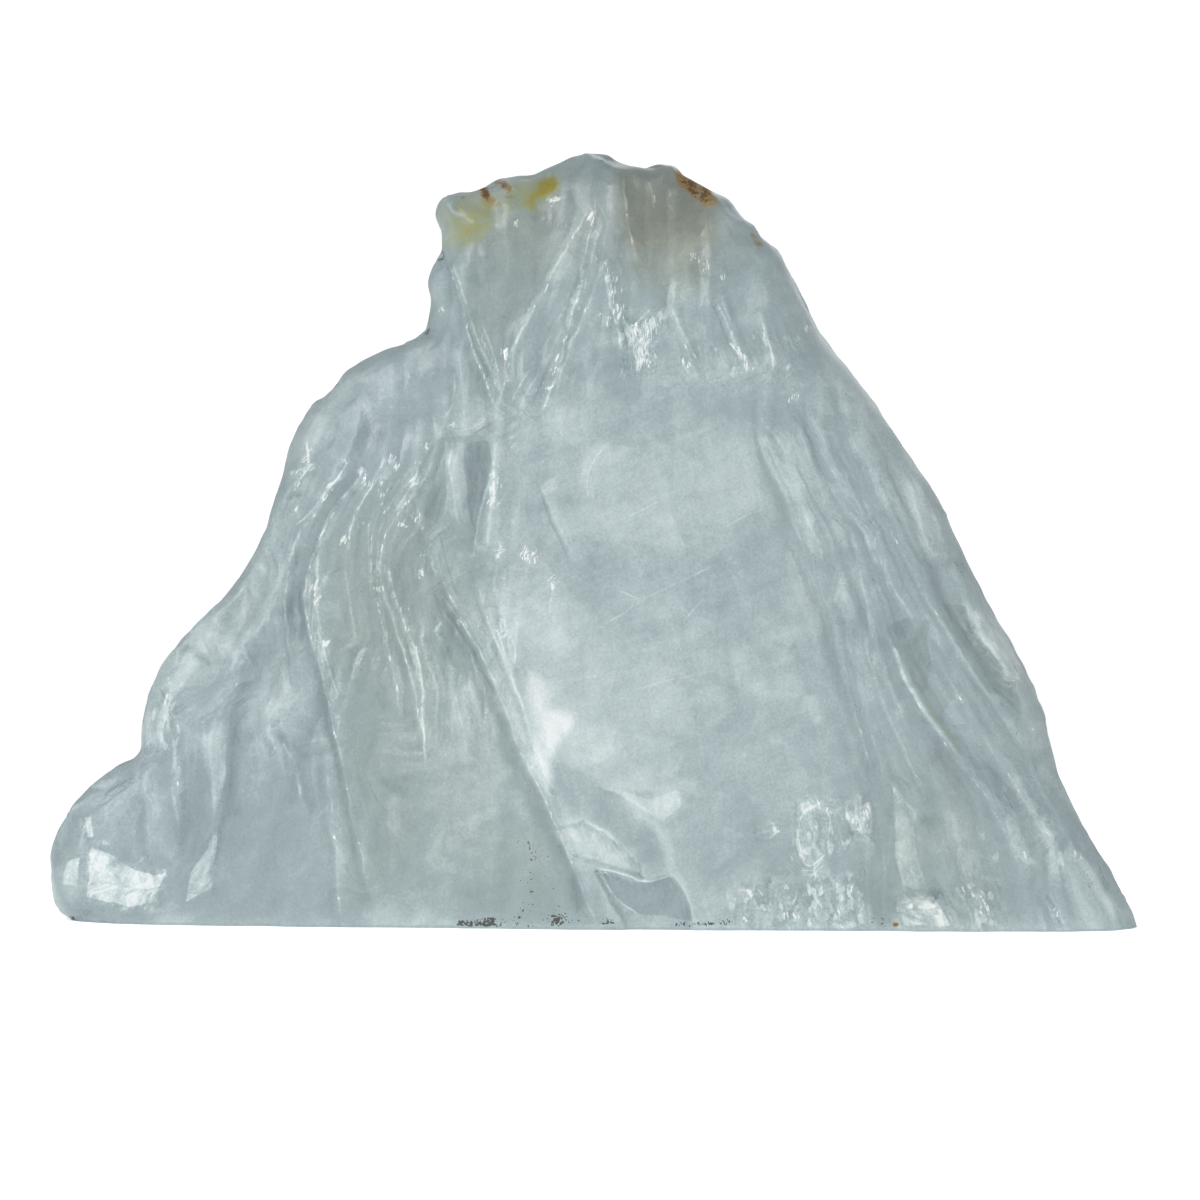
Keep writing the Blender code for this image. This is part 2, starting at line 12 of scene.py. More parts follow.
# %% Load the frame
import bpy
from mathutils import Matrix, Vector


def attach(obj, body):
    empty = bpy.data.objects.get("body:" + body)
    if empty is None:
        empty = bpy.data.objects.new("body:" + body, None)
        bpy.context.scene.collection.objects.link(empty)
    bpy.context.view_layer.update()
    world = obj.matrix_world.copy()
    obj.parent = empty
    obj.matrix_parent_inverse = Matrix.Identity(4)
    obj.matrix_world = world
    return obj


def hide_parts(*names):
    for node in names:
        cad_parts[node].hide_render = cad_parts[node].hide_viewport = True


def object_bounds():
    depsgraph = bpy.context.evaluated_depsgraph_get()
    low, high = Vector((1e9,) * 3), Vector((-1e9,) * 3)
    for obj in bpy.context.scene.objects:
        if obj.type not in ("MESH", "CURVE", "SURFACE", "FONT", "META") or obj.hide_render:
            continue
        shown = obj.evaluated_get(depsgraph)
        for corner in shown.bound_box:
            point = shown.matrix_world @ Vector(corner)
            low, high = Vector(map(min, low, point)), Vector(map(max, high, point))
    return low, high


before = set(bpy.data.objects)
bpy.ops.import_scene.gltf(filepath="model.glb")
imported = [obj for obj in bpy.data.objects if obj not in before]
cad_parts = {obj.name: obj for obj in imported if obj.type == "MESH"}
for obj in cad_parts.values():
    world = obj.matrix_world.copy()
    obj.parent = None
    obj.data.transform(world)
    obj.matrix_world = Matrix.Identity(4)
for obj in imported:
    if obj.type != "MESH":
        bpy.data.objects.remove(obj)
CAD_BOX = [list(corner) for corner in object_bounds()]
print("the solid's box:", CAD_BOX)

# %% [markdown]
# The slab is drawn from the front, as a mason would mark it out, on a sheet in millimetres: x runs to the
# right and z up from the sawn foot. The sheet is 220 wide, and one number, UNIT, turns it into metres.
# It comes from the solid's own width, so the drawing can't come out larger or smaller than the solid.

# %% The drawing sheet
import math

import bmesh
import bpy
import numpy as np
from mathutils import Vector, noise

DRAWN_WIDTH = 219.7
DRAWN_HEIGHT = 156.0
UNIT = (CAD_BOX[1][0] - CAD_BOX[0][0]) / DRAWN_WIDTH
NOISE_SEED = 7
noise.seed_set(NOISE_SEED)
scene = bpy.context.scene
print(f"one unit on the sheet is {UNIT * 1000:.4f} mm")

# %% [markdown]
# ## The camera
#
# A long lens a metre away flattens the slab a little, as in a catalogue picture. The camera looks level
# from 65 mm above the floor, a little below the slab's middle, and it is rolled by under half a degree,
# so the foot runs down to the right. A longer lens further away would show the same outline, but it
# would see less of the folds' sides.

# %% Set up the camera
EYE = Vector((0.0003, -1.0, 0.0653))
FRAME_WIDTH = 0.2428
SENSOR = 36.0
ROLL = math.radians(-0.45)

lens = bpy.data.cameras.new("camera")
lens.sensor_width = SENSOR
lens.lens = SENSOR * -EYE.y / FRAME_WIDTH
lens.clip_end = 200.0
camera = bpy.data.objects.new("camera", lens)
camera.location = EYE
camera.rotation_euler = (math.pi / 2, ROLL, 0.0)
scene.collection.objects.link(camera)
scene.camera = camera
print(f"lens {lens.lens:.1f} mm")

# %% [markdown]
# ## The studio
#
# The slab stands on a white floor in a white room. A curved paper sweep would hide the horizon from the
# front only, and from behind it would hide the slab. So the floor is flat and very wide, and both the
# floor and the room behind it are lit until they are pure white, which leaves no horizon from any side.
# The floor gives a little light of its own, which keeps the slab's shadow to a soft line at its foot.

# %% Make the floor and the room
FLOOR_SIDE = 60.0
FLOOR_WHITE = 0.82
FLOOR_GLOW = 0.68
ROOM_LIGHT = 0.44
ROOM_SEEN = 1.1
DAYLIGHT = (0.93, 0.97, 1.0, 1.0)
WHITE = (1.0, 1.0, 1.0, 1.0)


def dress(node, values):
    """Gives each named socket of a node its value."""
    for name, value in values.items():
        node.inputs[name].default_value = value


scene.view_settings.view_transform = "Standard"
scene.cycles.use_denoising = True
scene.cycles.max_bounces = 6
scene.cycles.diffuse_bounces = 2
scene.cycles.glossy_bounces = 2
scene.cycles.transmission_bounces = 4
scene.cycles.caustics_reflective = False
scene.cycles.caustics_refractive = False

form = bmesh.new()
bmesh.ops.create_grid(form, x_segments=1, y_segments=1, size=FLOOR_SIDE / 2)
floor_mesh = bpy.data.meshes.new("floor")
form.to_mesh(floor_mesh)
form.free()
floor = bpy.data.objects.new("floor", floor_mesh)
scene.collection.objects.link(floor)
paper = bpy.data.materials.new("floor")
paper.use_nodes = True
dress(paper.node_tree.nodes["Principled BSDF"], {
    "Base Color": (FLOOR_WHITE, FLOOR_WHITE, FLOOR_WHITE, 1.0),
    "Roughness": 1.0,
    "Specular IOR Level": 0.0,
    "Emission Color": WHITE,
    "Emission Strength": FLOOR_GLOW,
})
floor_mesh.materials.append(paper)

room = bpy.data.worlds.new("room")
room.use_nodes = True
scene.world = room
room_nodes = room.node_tree.nodes
room_links = room.node_tree.links
room_light = room_nodes["Background"]
dress(room_light, {"Color": DAYLIGHT, "Strength": ROOM_LIGHT})
seen_white = room_nodes.new("ShaderNodeBackground")
dress(seen_white, {"Color": WHITE, "Strength": ROOM_SEEN})
ray = room_nodes.new("ShaderNodeLightPath")
room_mix = room_nodes.new("ShaderNodeMixShader")
room_links.new(ray.outputs["Is Camera Ray"], room_mix.inputs[0])
room_links.new(room_light.outputs[0], room_mix.inputs[1])
room_links.new(seen_white.outputs[0], room_mix.inputs[2])
room_links.new(room_mix.outputs[0], room_nodes["World Output"].inputs["Surface"])
print("floor", floor.dimensions.to_tuple(1), "room light", ROOM_LIGHT)

# %% [markdown]
# Even light alone would leave the folds flat. Four soft lamps model them: a large one above and to the
# left, which grazes the folds, a weaker one to the right, one behind the slab that shines through its
# thin rim, and one small lamp, whose reflection is the sharp glint on a lip or a flake.

# %% Hang the lamps
AIM = Vector((0.0, 0.0, 0.07))
LAMPS = {
    "key": (3.6, 0.50, (-0.55, -0.55, 0.95)),
    "fill": (1.6, 0.60, (0.90, -0.80, 0.35)),
    "back": (1.0, 0.60, (0.25, 0.90, 0.55)),
    "glint": (1.6, 0.07, (-0.42, -0.80, 0.62)),
}

for name, (power, side, place) in LAMPS.items():
    light = bpy.data.lights.new(name, "AREA")
    light.energy = power
    light.size = side
    lamp = bpy.data.objects.new(name, light)
    lamp.location = place
    lamp.rotation_euler = (AIM - Vector(place)).to_track_quat("-Z", "Y").to_euler()
    lamp.visible_camera = False
    scene.collection.objects.link(lamp)
    print(f"{name}: {power} W, {side} m across")

# %% [markdown]
# ## The blank
#
# The real slab was split off a larger crystal and then sawn, so the model starts as a blank too. It is a
# flat slice with the slab's outline. It could be sculpted by hand, but the folds have to follow a
# drawing, so the blank is cut into small even cells instead, and its cells are moved by the drawing.
# The outline has only the points that its bends need.

# %% Draw the outline
LEFT_LOBE = [(-105, 0), (-108.4, 1), (-109.7, 3.6), (-110, 8), (-109.6, 13), (-108, 18), (-105, 23.5),
             (-101, 28), (-96.5, 31.3), (-92.3, 33.3)]
LEFT_FLANK = [(-92.1, 35), (-92, 39), (-91, 43), (-89.2, 47.7), (-86.4, 53), (-83, 57.5), (-78.5, 62),
              (-73.5, 68), (-69.5, 74.5), (-66.7, 81), (-64.5, 88), (-63.2, 95), (-60.8, 101), (-58.3, 105),
              (-55.3, 106.7), (-53.3, 108.5), (-52.2, 111.2), (-45, 115), (-39, 117.2), (-35, 119)]
BROKEN_TOP = [(-34.5, 124), (-34.8, 131), (-33.5, 133.4), (-32, 134), (-32.2, 137), (-33, 141),
              (-33.6, 144.5), (-32, 147), (-26, 148.4), (-23, 148.8), (-20.6, 151), (-14.2, 151.2),
              (-8, 153.7), (-3, 156), (0, 155.7), (3, 154), (5.5, 152.8), (9, 153), (12.5, 153.6),
              (15, 152.4), (17, 150.6), (20.5, 148.8), (24, 147)]
RIGHT_FLANK = [(28, 143.3), (32.5, 139), (36, 136.5), (38, 133), (42, 126), (45.5, 119), (49, 114.5),
               (51, 112), (55.5, 106), (62, 96), (67, 89), (70, 84), (72, 79.5), (75, 73.5), (80.2, 64),
               (85.2, 55.5), (88.7, 48.5), (90.8, 42), (92, 36), (93.6, 30), (97.3, 22), (103, 13),
               (108, 4.5), (110, 0)]
OUTLINE = LEFT_LOBE + LEFT_FLANK + BROKEN_TOP + RIGHT_FLANK
print(len(OUTLINE), "points round the outline")

# %% [markdown]
# The outline becomes one face from its few corners, and the face is extruded into a slice. Voxel Remesh
# then cuts the slice into even cells. The cells of the front and of the rim are cut once more,
# because that is where the folds are; the back is plainer and keeps the large cells.

# %% Cut the blank into cells
BLANK_DEPTH = 20.0
SAW_OVERRUN = 6.0
CELL = 1.3
BACK_FACING = 0.7


def cut_blank():
    """The outline as a closed slice in drawing units, running below the foot."""
    left, right = OUTLINE[0], OUTLINE[-1]
    corners = [*OUTLINE, (right[0], -SAW_OVERRUN), (left[0], -SAW_OVERRUN)]
    form = bmesh.new()
    front = form.faces.new([form.verts.new((x, -BLANK_DEPTH / 2, z)) for x, z in corners])
    grown = bmesh.ops.extrude_face_region(form, geom=[front])
    moved = [item for item in grown["geom"] if isinstance(item, bmesh.types.BMVert)]
    bmesh.ops.translate(form, verts=moved, vec=(0.0, BLANK_DEPTH, 0.0))
    bmesh.ops.recalc_face_normals(form, faces=form.faces)
    mesh = bpy.data.meshes.new("blank")
    form.to_mesh(mesh)
    form.free()
    return mesh


def in_cells(mesh):
    """The slice remeshed into even cells, with the front's and the rim's cut in four."""
    block = bpy.data.objects.new("blank", mesh)
    scene.collection.objects.link(block)
    cells = block.modifiers.new("cells", "REMESH")
    cells.mode = "VOXEL"
    cells.voxel_size = CELL
    bpy.context.view_layer.update()
    evaluated = block.evaluated_get(bpy.context.evaluated_depsgraph_get())
    even = bpy.data.meshes.new_from_object(evaluated)
    bpy.data.objects.remove(block)
    form = bmesh.new()
    form.from_mesh(even)
    form.normal_update()
    shown = {edge for face in form.faces if face.normal.y < BACK_FACING for edge in face.edges}
    bmesh.ops.subdivide_edges(form, edges=sorted(shown, key=lambda edge: edge.index), cuts=1,
                              use_grid_fill=True)
    form.to_mesh(even)
    form.free()
    return even


blank = in_cells(cut_blank())
print(len(blank.vertices), "vertices in the blank,", len(blank.polygons), "cells")

# %% [markdown]
# ## Reading the drawing
#
# Everything on the stone is drawn as a line or as a closed outline, so the model asks two questions of
# each vertex: how far is it from a line, and on which side, and is it inside an outline? Numpy answers
# them for all the vertices at once. Corners are cut twice first, so that a line bends and doesn't kink.

# %% Lines and outlines
RAGGED = [(0.5, 6.0), (0.22, 2.2)]


def smooth_line(points, rounds=2):
    """The points with their corners cut, so that a fold bends and doesn't kink."""
    line = np.array(points, float)
    for _ in range(rounds if len(line) > 2 else 0):
        near = line[:-1] * 0.75 + line[1:] * 0.25
        far = line[:-1] * 0.25 + line[1:] * 0.75
        middle = np.stack([near, far], axis=1).reshape(-1, 2)
        line = np.vstack([line[:1], middle[1:-1], line[-1:]])
    return line


def along_line(x, z, line):
    """For each point: its distance from the line, that distance eastwards, and its share of the way along."""
    best = np.full(x.shape, np.inf)
    east = np.zeros(x.shape)
    share = np.zeros(x.shape)
    lengths = np.hypot(*np.diff(line, axis=0).T)
    start = 0.0
    for (ax, az), (bx, bz), length in zip(line[:-1], line[1:], lengths):
        tx, tz = (bx - ax) / length, (bz - az) / length
        run = np.clip((x - ax) * tx + (z - az) * tz, 0.0, length)
        dx, dz = x - ax - run * tx, z - az - run * tz
        away = np.hypot(dx, dz)
        nearer = away < best
        best = np.where(nearer, away, best)
        east = np.where(nearer, np.copysign(away, dz * tx - dx * tz), east)
        share = np.where(nearer, (start + run) / lengths.sum(), share)
        start += length
    return best, east, share


def oblong(left, low, right, high):
    """The corners of an upright rectangle on the sheet."""
    return [(left, low), (left, high), (right, high), (right, low)]


def ease(value):
    """Nought to one, with level ends."""
    value = np.clip(value, 0.0, 1.0)
    return value * value * (3.0 - 2.0 * value)


def tapered(share, taper, top=0.0, foot=0.0):
    """One along a line, easing down towards its ends; an end's own amount keeps it blunt."""
    return ease(share / taper + top) * ease((1.0 - share) / taper + foot)


def inside(x, z, points):
    """Whether each point is inside the closed outline."""
    found = np.zeros(x.shape, bool)
    corners = np.array(points, float)
    for (ax, az), (bx, bz) in zip(corners, np.roll(corners, -1, axis=0)):
        if az == bz:
            continue
        crosses = ((az > z) != (bz > z)) & (x < (bx - ax) * (z - az) / (bz - az) + ax)
        found ^= crosses
    return found


def inward_of(x, z, points):
    """How far inside the closed outline each point is; less than nought outside it."""
    away, _, _ = along_line(x, z, np.array([*points, points[0]], float))
    return np.where(inside(x, z, points), away, -away)


def near(x, z, points, margin):
    """The points of the slab that are close enough to a drawn shape to be touched by it."""
    drawn = np.array(points, float)
    low, high = drawn.min(axis=0) - margin, drawn.max(axis=0) + margin
    return np.flatnonzero((x > low[0]) & (x < high[0]) & (z > low[1]) & (z < high[1]))


def read(items, field, width, kind=float):
    """One field of a mesh's vertices or edges, with a row for each of them."""
    values = np.empty(len(items) * width, kind)
    items.foreach_get(field, values)
    return values.reshape(-1, width)


def wander(run, grain, seed):
    """A slow noise of about one either way, along the outline."""
    steps = np.arange(0.0, run.max() + grain, grain / 8.0)
    values = [1.6 * noise.noise(Vector((step / grain, seed, 0.5))) for step in steps]
    return np.interp(run, steps, values)


def settle(values, edges, rounds):
    """The values averaged with their neighbours' along the mesh's edges."""
    degree = np.bincount(edges.ravel(), minlength=len(values))
    for _ in range(rounds):
        one = np.bincount(edges[:, 0], weights=values[edges[:, 1]], minlength=len(values))
        other = np.bincount(edges[:, 1], weights=values[edges[:, 0]], minlength=len(values))
        values = 0.5 * values + 0.5 * (one + other) / degree
    return values


def ragged(x, z):
    """The points nudged by fine noise, so that whatever is drawn through them gets a ragged edge."""
    moved = np.stack([x, z], axis=1)
    for reach, grain in RAGGED:
        nudges = [noise.noise_vector(Vector((u / grain, v / grain, grain))).xy for u, v in zip(x, z)]
        moved += reach * np.array(nudges).reshape(-1, 2)
    return moved.T


print("a bend of three points is drawn with", len(smooth_line([(0, 0), (1, 0), (1, 1)])))

# %% [markdown]
# ## The smooth body
#
# Under the folds the slab is a thick wedge. It is deepest at the foot, thins towards the crest and the
# two ends, and rounds off towards its rim like a worn pebble. How much depth is left at the rim wanders,
# so from the side the edge leans forward here and back there, as a broken edge does.

# %% The wedge and its rim
FOOT_DEPTH = 46.0
CREST_DEPTH = 25.0
END_THINNING = 0.22
SET_BACK = 2.45
RIM_SHARE = 0.40
RIM_WANDER = 0.62
RIM_GRAIN = 30.0
RIM_ROUNDS = 40
RIM_LEAST = 0.24
ROUNDING_LOW = 22.0
ROUNDING_HIGH = 12.0


def rim_of(x, z):
    """For each point: its distance from the outline, how far along that is, and the way inwards."""
    away = np.full(x.shape, np.inf)
    run_at = np.zeros(x.shape)
    inward_x = np.zeros(x.shape)
    inward_z = np.zeros(x.shape)
    start = 0.0
    for (ax, az), (bx, bz) in zip(OUTLINE[:-1], OUTLINE[1:]):
        length = math.hypot(bx - ax, bz - az)
        tx, tz = (bx - ax) / length, (bz - az) / length
        run = np.clip((x - ax) * tx + (z - az) * tz, 0.0, length)
        gap = np.hypot(x - ax - run * tx, z - az - run * tz)
        nearer = gap < away
        away = np.where(nearer, gap, away)
        run_at = np.where(nearer, start + run, run_at)
        inward_x = np.where(nearer, tz, inward_x)
        inward_z = np.where(nearer, -tx, inward_z)
        start += length
    return away, run_at, inward_x, inward_z


def rim_lean(run, edges):
    """How far the rim leans, forward and back, smoothed where the nearest side of the outline changes."""
    leans = [wander(run, RIM_GRAIN, 3.0), wander(run, RIM_GRAIN * 0.6, 8.0)]
    return [RIM_WANDER * settle(lean, edges, RIM_ROUNDS) for lean in leans]


def body_faces(x, z, away, lean, lean_behind):
    """The front and back of the smooth body, which thins upwards and draws in towards its rim."""
    height = np.clip(z / DRAWN_HEIGHT, 0.0, 1.0)
    depth = FOOT_DEPTH + (CREST_DEPTH - FOOT_DEPTH) * height
    depth = depth * (1.0 - END_THINNING * (x / DRAWN_WIDTH * 2.0) ** 2)
    rim_front = RIM_SHARE + lean
    rim_back = RIM_SHARE - lean + 0.4 * lean_behind
    thin = np.maximum(RIM_LEAST - rim_front - rim_back, 0.0) / 2.0
    rounding = ROUNDING_LOW + (ROUNDING_HIGH - ROUNDING_LOW) * height
    inward = np.clip(away / rounding, 0.0, 1.0)
    swell = np.sqrt(1.0 - (1.0 - inward) ** 2)
    front = rim_front + thin + (1.0 - rim_front - thin) * swell
    back = rim_back + thin + (1.0 - rim_back - thin) * swell
    return -front * depth / 2.0, back * depth / 2.0


print("depth", FOOT_DEPTH, "at the foot and", CREST_DEPTH, "at the crest")

# %% [markdown]
# ## The folds
#
# A fold is a cleavage step. The crystal split along one layer of fibres, and a little further on along
# the next, so one side of the line stands up with a sharp lip and then sinks back slowly. Each fold is
# its height, how far it takes to sink back, the side that stands proud, and its line from the top down.
# Noise alone could make such steps, but it couldn't put the curtain's folds where they hang.

# %% Draw the folds
EAST, WEST = 1, -1
CREST_FOLDS = {
    "left_gully": (2.2, 9, EAST, [(-30, 138), (-29, 132), (-27, 126), (-26, 121), (-24, 115), (-20, 104)]),
    "fan_left": (1.8, 3.5, EAST, [(0, 149), (-4, 140), (-9, 132), (-13, 124), (-17, 117), (-20, 103)]),
    "fan_middle": (1.4, 3, EAST, [(2, 146), (0, 138), (-2, 130), (-6, 122), (-10, 115), (-16, 103)]),
    "fan_right": (1.5, 4, EAST, [(2.5, 136), (-1, 127), (-4, 120), (-6.5, 114), (-9, 108), (-12, 102)]),
    "crest_spine": (2.0, 5, WEST, [(5.5, 154), (6.5, 147), (7.2, 141), (9, 134)]),
    "blade": (1.6, 3, WEST, [(2.5, 135), (4, 129), (5, 124), (6, 117)]),
    "nick_left": (1.3, 4, WEST, [(16, 126), (18, 120), (21, 110)]),
    "nick_middle": (1.6, 4, WEST, [(25.5, 129), (28.5, 120), (31.5, 111)]),
    "nick_right": (1.2, 4, WEST, [(33.5, 125), (35.5, 118), (37, 113)]),
    "knot_ledge": (0.8, 5, WEST, [(-12, 106), (-17, 103), (-21, 102), (-25, 100), (-30, 98)]),
}
DRAPE_FOLDS = {
    "drape_inner": (2.0, 4, EAST, [(-30, 101), (-33, 93), (-37, 87), (-42, 81), (-44, 73), (-42, 65),
                                   (-38, 53), (-35, 41), (-34, 31)]),
    "drape_second": (1.6, 3.2, WEST, [(-37, 98), (-42, 88), (-45, 79), (-45, 72), (-43, 62), (-40, 49),
                                      (-38, 39)]),
    "drape_third": (1.5, 4, EAST, [(-41, 98), (-45, 90), (-49, 83), (-50.5, 75), (-50, 66), (-48, 56)]),
    "drape_outer": (1.8, 5, WEST, [(-49, 95), (-54, 87), (-60, 79.5), (-62, 71), (-62.5, 63), (-61, 54)]),
    "drape_long": (2.4, 5, EAST, [(-46, 94), (-52, 86), (-56.5, 77), (-59, 69), (-58, 60), (-55, 50),
                                  (-52.5, 39), (-50, 27), (-47.5, 16), (-45, 4)]),
    "drape_tongue": (1.3, 3, EAST, [(-56, 73), (-56.5, 65), (-54.5, 57), (-52, 51), (-51.5, 45)]),
    "drape_foot": (1.6, 5, EAST, [(-55, 38), (-53.5, 27), (-52.5, 17), (-52, 8), (-51, -4)]),
    "curtain_edge": (1.6, 3, EAST, [(-37, 90), (-35.5, 83), (-33.5, 75), (-31, 68)]),
    "curtain_hem": (0.6, 10, EAST, [(-47, 29), (-40, 31), (-34, 31.5), (-28, 33), (-22, 35)]),
    "curtain_pleat": (1.2, 3, WEST, [(-32, 62), (-29, 53), (-27, 44), (-25.5, 33)]),
}
LEFT_FOLDS = {
    "shoulder_inner": (2.4, 6, WEST, [(-67, 60), (-71, 54), (-73.5, 45), (-74.5, 36), (-75, 27), (-76.5, 17),
                                      (-80, 5)]),
    "shoulder_outer": (2.0, 5, WEST, [(-83, 54), (-86, 46), (-85.5, 38), (-84, 30), (-83.5, 22), (-85, 12)]),
    "lobe_seam": (1.8, 7, EAST, [(-92, 35), (-91, 27), (-90, 18), (-88, 8)]),
    "lobe_bevel": (2.2, 12, EAST, [(-90, 32), (-97, 28), (-102.5, 23), (-104.5, 16), (-106, 8)]),
    "belly": (1.4, 7, WEST, [(-67, 41), (-63, 37), (-60, 31), (-57.5, 22)]),
    "neck_ledge": (0.9, 9, WEST, [(-71, 72), (-66, 73), (-62.5, 70)]),
    "waist_ledge": (1.1, 7, WEST, [(-87, 55), (-80, 53.5), (-75, 52.5), (-69, 55)]),
    "pale_blade": (1.2, 3, EAST, [(-80, 44), (-78.5, 36), (-77, 28), (-77, 20)]),
}
PANE_FOLDS = {
    "great_gully": (2.4, 16, EAST, [(-34, 82), (-32, 74), (-29, 66), (-25.5, 59), (-21.5, 52), (-18, 43),
                                    (-14.5, 34), (-9.5, 24), (-4.5, 13), (2, -4)]),
    "pane_rim": (1.3, 6, EAST, [(-24, 72), (-21.5, 62), (-18.5, 54), (-15, 45), (-11.5, 35), (-9, 27)]),
    "bright_crest": (1.6, 4, EAST, [(-20, 100), (-20.3, 92), (-21, 85), (-22, 76)]),
    "brow": (1.2, 6, EAST, [(-11, 90), (-9, 84), (-6, 78), (-3, 73)]),
}
RIGHT_FOLDS = {
    "gully_bank": (1.5, 9, EAST, [(31, 104), (35, 94), (39, 85), (42.5, 75), (46, 65), (48.5, 56),
                                  (52, 45), (55, 35), (57.5, 24), (58.5, 13), (58, -4)]),
    "fold_first": (1.4, 5, EAST, [(34, 100), (38, 91), (42, 83.5), (47, 75)]),
    "fold_second": (2.0, 5, EAST, [(51.5, 84), (53, 76), (54.5, 68), (56, 59), (57, 50), (60, 41), (65, 31),
                                   (68, 22)]),
    "fold_third": (2.4, 6, EAST, [(58, 63), (61, 54), (65, 45.5), (70, 37.5), (76, 30.5), (80, 25),
                                  (84, 16), (88, 7)]),
    "fold_fourth": (2.0, 5, EAST, [(38, 111), (43, 102), (48, 92), (54, 82), (59, 71), (64.5, 61.5), (71, 51),
                                   (78, 39), (85, 29), (91, 19), (94, 10)]),
    "fold_fifth": (2.0, 5, EAST, [(48, 106), (52, 97), (56, 88), (61, 77), (67, 66.5), (73, 57), (80, 46),
                                  (87, 34)]),
    "flank_flake": (1.5, 4, EAST, [(61, 96), (65, 86), (66, 79), (69.5, 74)]),
    "flank_pane": (1.7, 6, EAST, [(71, 75), (74.5, 66), (79, 57), (85, 49)]),
    "foot_first": (1.7, 4, EAST, [(60.3, 31), (61, 22), (61, 14), (63, 6)]),
    "foot_second": (1.7, 5, WEST, [(69, 23), (73, 12), (77, 4), (80, -4)]),
    "foot_third": (1.4, 4, EAST, [(81, 23), (84, 15), (86.5, 10)]),
    "toe_ridge": (1.8, 6, WEST, [(95.5, 19), (100, 11), (103, 6), (108, -3)]),
    "toe_split": (1.4, 4, EAST, [(92, 14), (92, 6), (94.5, -3)]),
}
FRONT_FOLDS = {**CREST_FOLDS, **DRAPE_FOLDS, **LEFT_FOLDS, **PANE_FOLDS, **RIGHT_FOLDS}
FOLD_EDGE = 0.6
FOLD_SCALE = 0.58
FOLD_TAIL = 5.0
FOLD_TAPER = 0.14


def fold(x, z, height, reach, side, points):
    """A cleavage step: steep on one side of its line, and sinking back slowly on the proud side."""
    relief = np.zeros(x.shape)
    at = near(x, z, points, reach * FOLD_TAIL)
    _, east, share = along_line(x[at], z[at], smooth_line(points))
    proud = east * side
    step = 1.0 / (1.0 + np.exp(-np.clip(proud / FOLD_EDGE, -30.0, 30.0)))
    ends = tapered(share, FOLD_TAPER)
    relief[at] = height * ends * step * np.exp(-np.maximum(proud, 0.0) / reach)
    return relief


print(len(FRONT_FOLDS), "folds on the front")

# %% [markdown]
# Between the folds run a few round-bottomed channels, and here and there a flake has come away and left
# a flat chip, with a sharp rim if it is fresh and a worn one if it is old. A chip's floor leans one way,
# so it catches the light differently from the stone round it. Where the stone was knocked, at the foot
# and on some lips, it is shattered into many small flats, and each of those leans its own way.

# %% Grooves, chips and shattered places
GREAT_GULLY = [(-33, 78), (-30.5, 67), (-27, 59.5), (-23, 52), (-19.5, 43), (-16, 34), (-11, 24), (-6, 13)]
SPALL = [(41, 25), (44, 26), (48, 22), (47, 15), (44, 11), (41, 16)]
FRONT_GROOVES = {
    "dark_blade": (1.3, 2.3, [(-23.5, 100), (-23.5, 92), (-24, 84), (-24, 75)]),
    "great_gully": (0.9, 2.2, [*GREAT_GULLY, (0, -4)]),
    "right_gully": (1.1, 3.4, [(32, 101), (37, 89), (41, 78), (45, 66), (48, 56), (51, 46), (54.5, 35),
                               (57, 24), (58, 12), (57.5, -4)]),
    "throat": (1.5, 3.0, [(-60, 78), (-61, 70), (-61, 62)]),
}
FRONT_CHIPS = {
    "window": (1.8, 250, 0.4, [(0, 11.5), (5, 10.5), (8, 9), (11, 9), (13, 10.5), (15.5, 10.5), (17, 8),
                               (19, 5), (20, -4), (8, -4), (4, 4), (2, 8)]),
    "scallop": (1.4, 60, 0.4, [(-7.5, 20), (-2, 21.5), (5, 17), (9, 13), (10, 10), (5, 11.5), (0, 12.5),
                               (-4, 14.5)]),
    "flag": (0.5, 200, 0.6, [(1, 28), (15, 27.5), (18, 25.5), (17.5, 22), (14, 19.5), (7, 25)]),
    "crest_pane": (1.0, 300, 6.0, [(-39, 158), (-8, 160), (-3, 141), (-13, 122), (-20, 108), (-25, 121),
                                   (-28, 134)]),
    "brown_pane": (1.2, 190, 4.0, [(8, 151), (15, 150), (24, 141), (22, 131), (15, 127), (9, 134)]),
    "spark": (0.6, 100, 1.2, [(4.5, 124), (13, 124), (11, 117), (9, 111.5), (7, 117)]),
    "shoulder_pane": (1.4, 330, 4.0, [(-51, 108), (-45, 113), (-34, 117), (-29, 108), (-32, 101), (-44, 99),
                                      (-54, 97)]),
    "tail_pane": (1.5, 30, 1.5, [(63, 57), (66, 61), (72, 56), (74, 48), (70, 42), (66, 47)]),
    "flank_window": (1.5, 215, 1.2, [(67, 74), (72.5, 74), (75.5, 63), (79, 57), (85, 47), (80, 48),
                                     (72, 61)]),
    "spall": (0.7, 160, 0.5, SPALL),
    "pock": (0.5, 90, 0.4, [(32, 19.5), (35, 21), (38, 20), (36, 18), (33, 17.5)]),
    "foot_spall": (0.9, 265, 1.0, [(28, 8), (34, 10), (40, 8.5), (47, 10), (53, 7), (54, -4), (28, -4)]),
    "lobe_facet": (0.7, 235, 2.0, [(-102.5, 17.5), (-95.5, 13.5), (-89.5, 10), (-90, 5), (-95, 4),
                                   (-102.5, 7.5)]),
    "pale_facet": (0.5, 180, 0.8, [(-77, 19), (-77, 8), (-82.5, 6), (-80, 12)]),
}
GROOVE_TAPER = 0.2
GROOVE_BLUNT = 0.3
CHIP_SHALLOW = 0.25

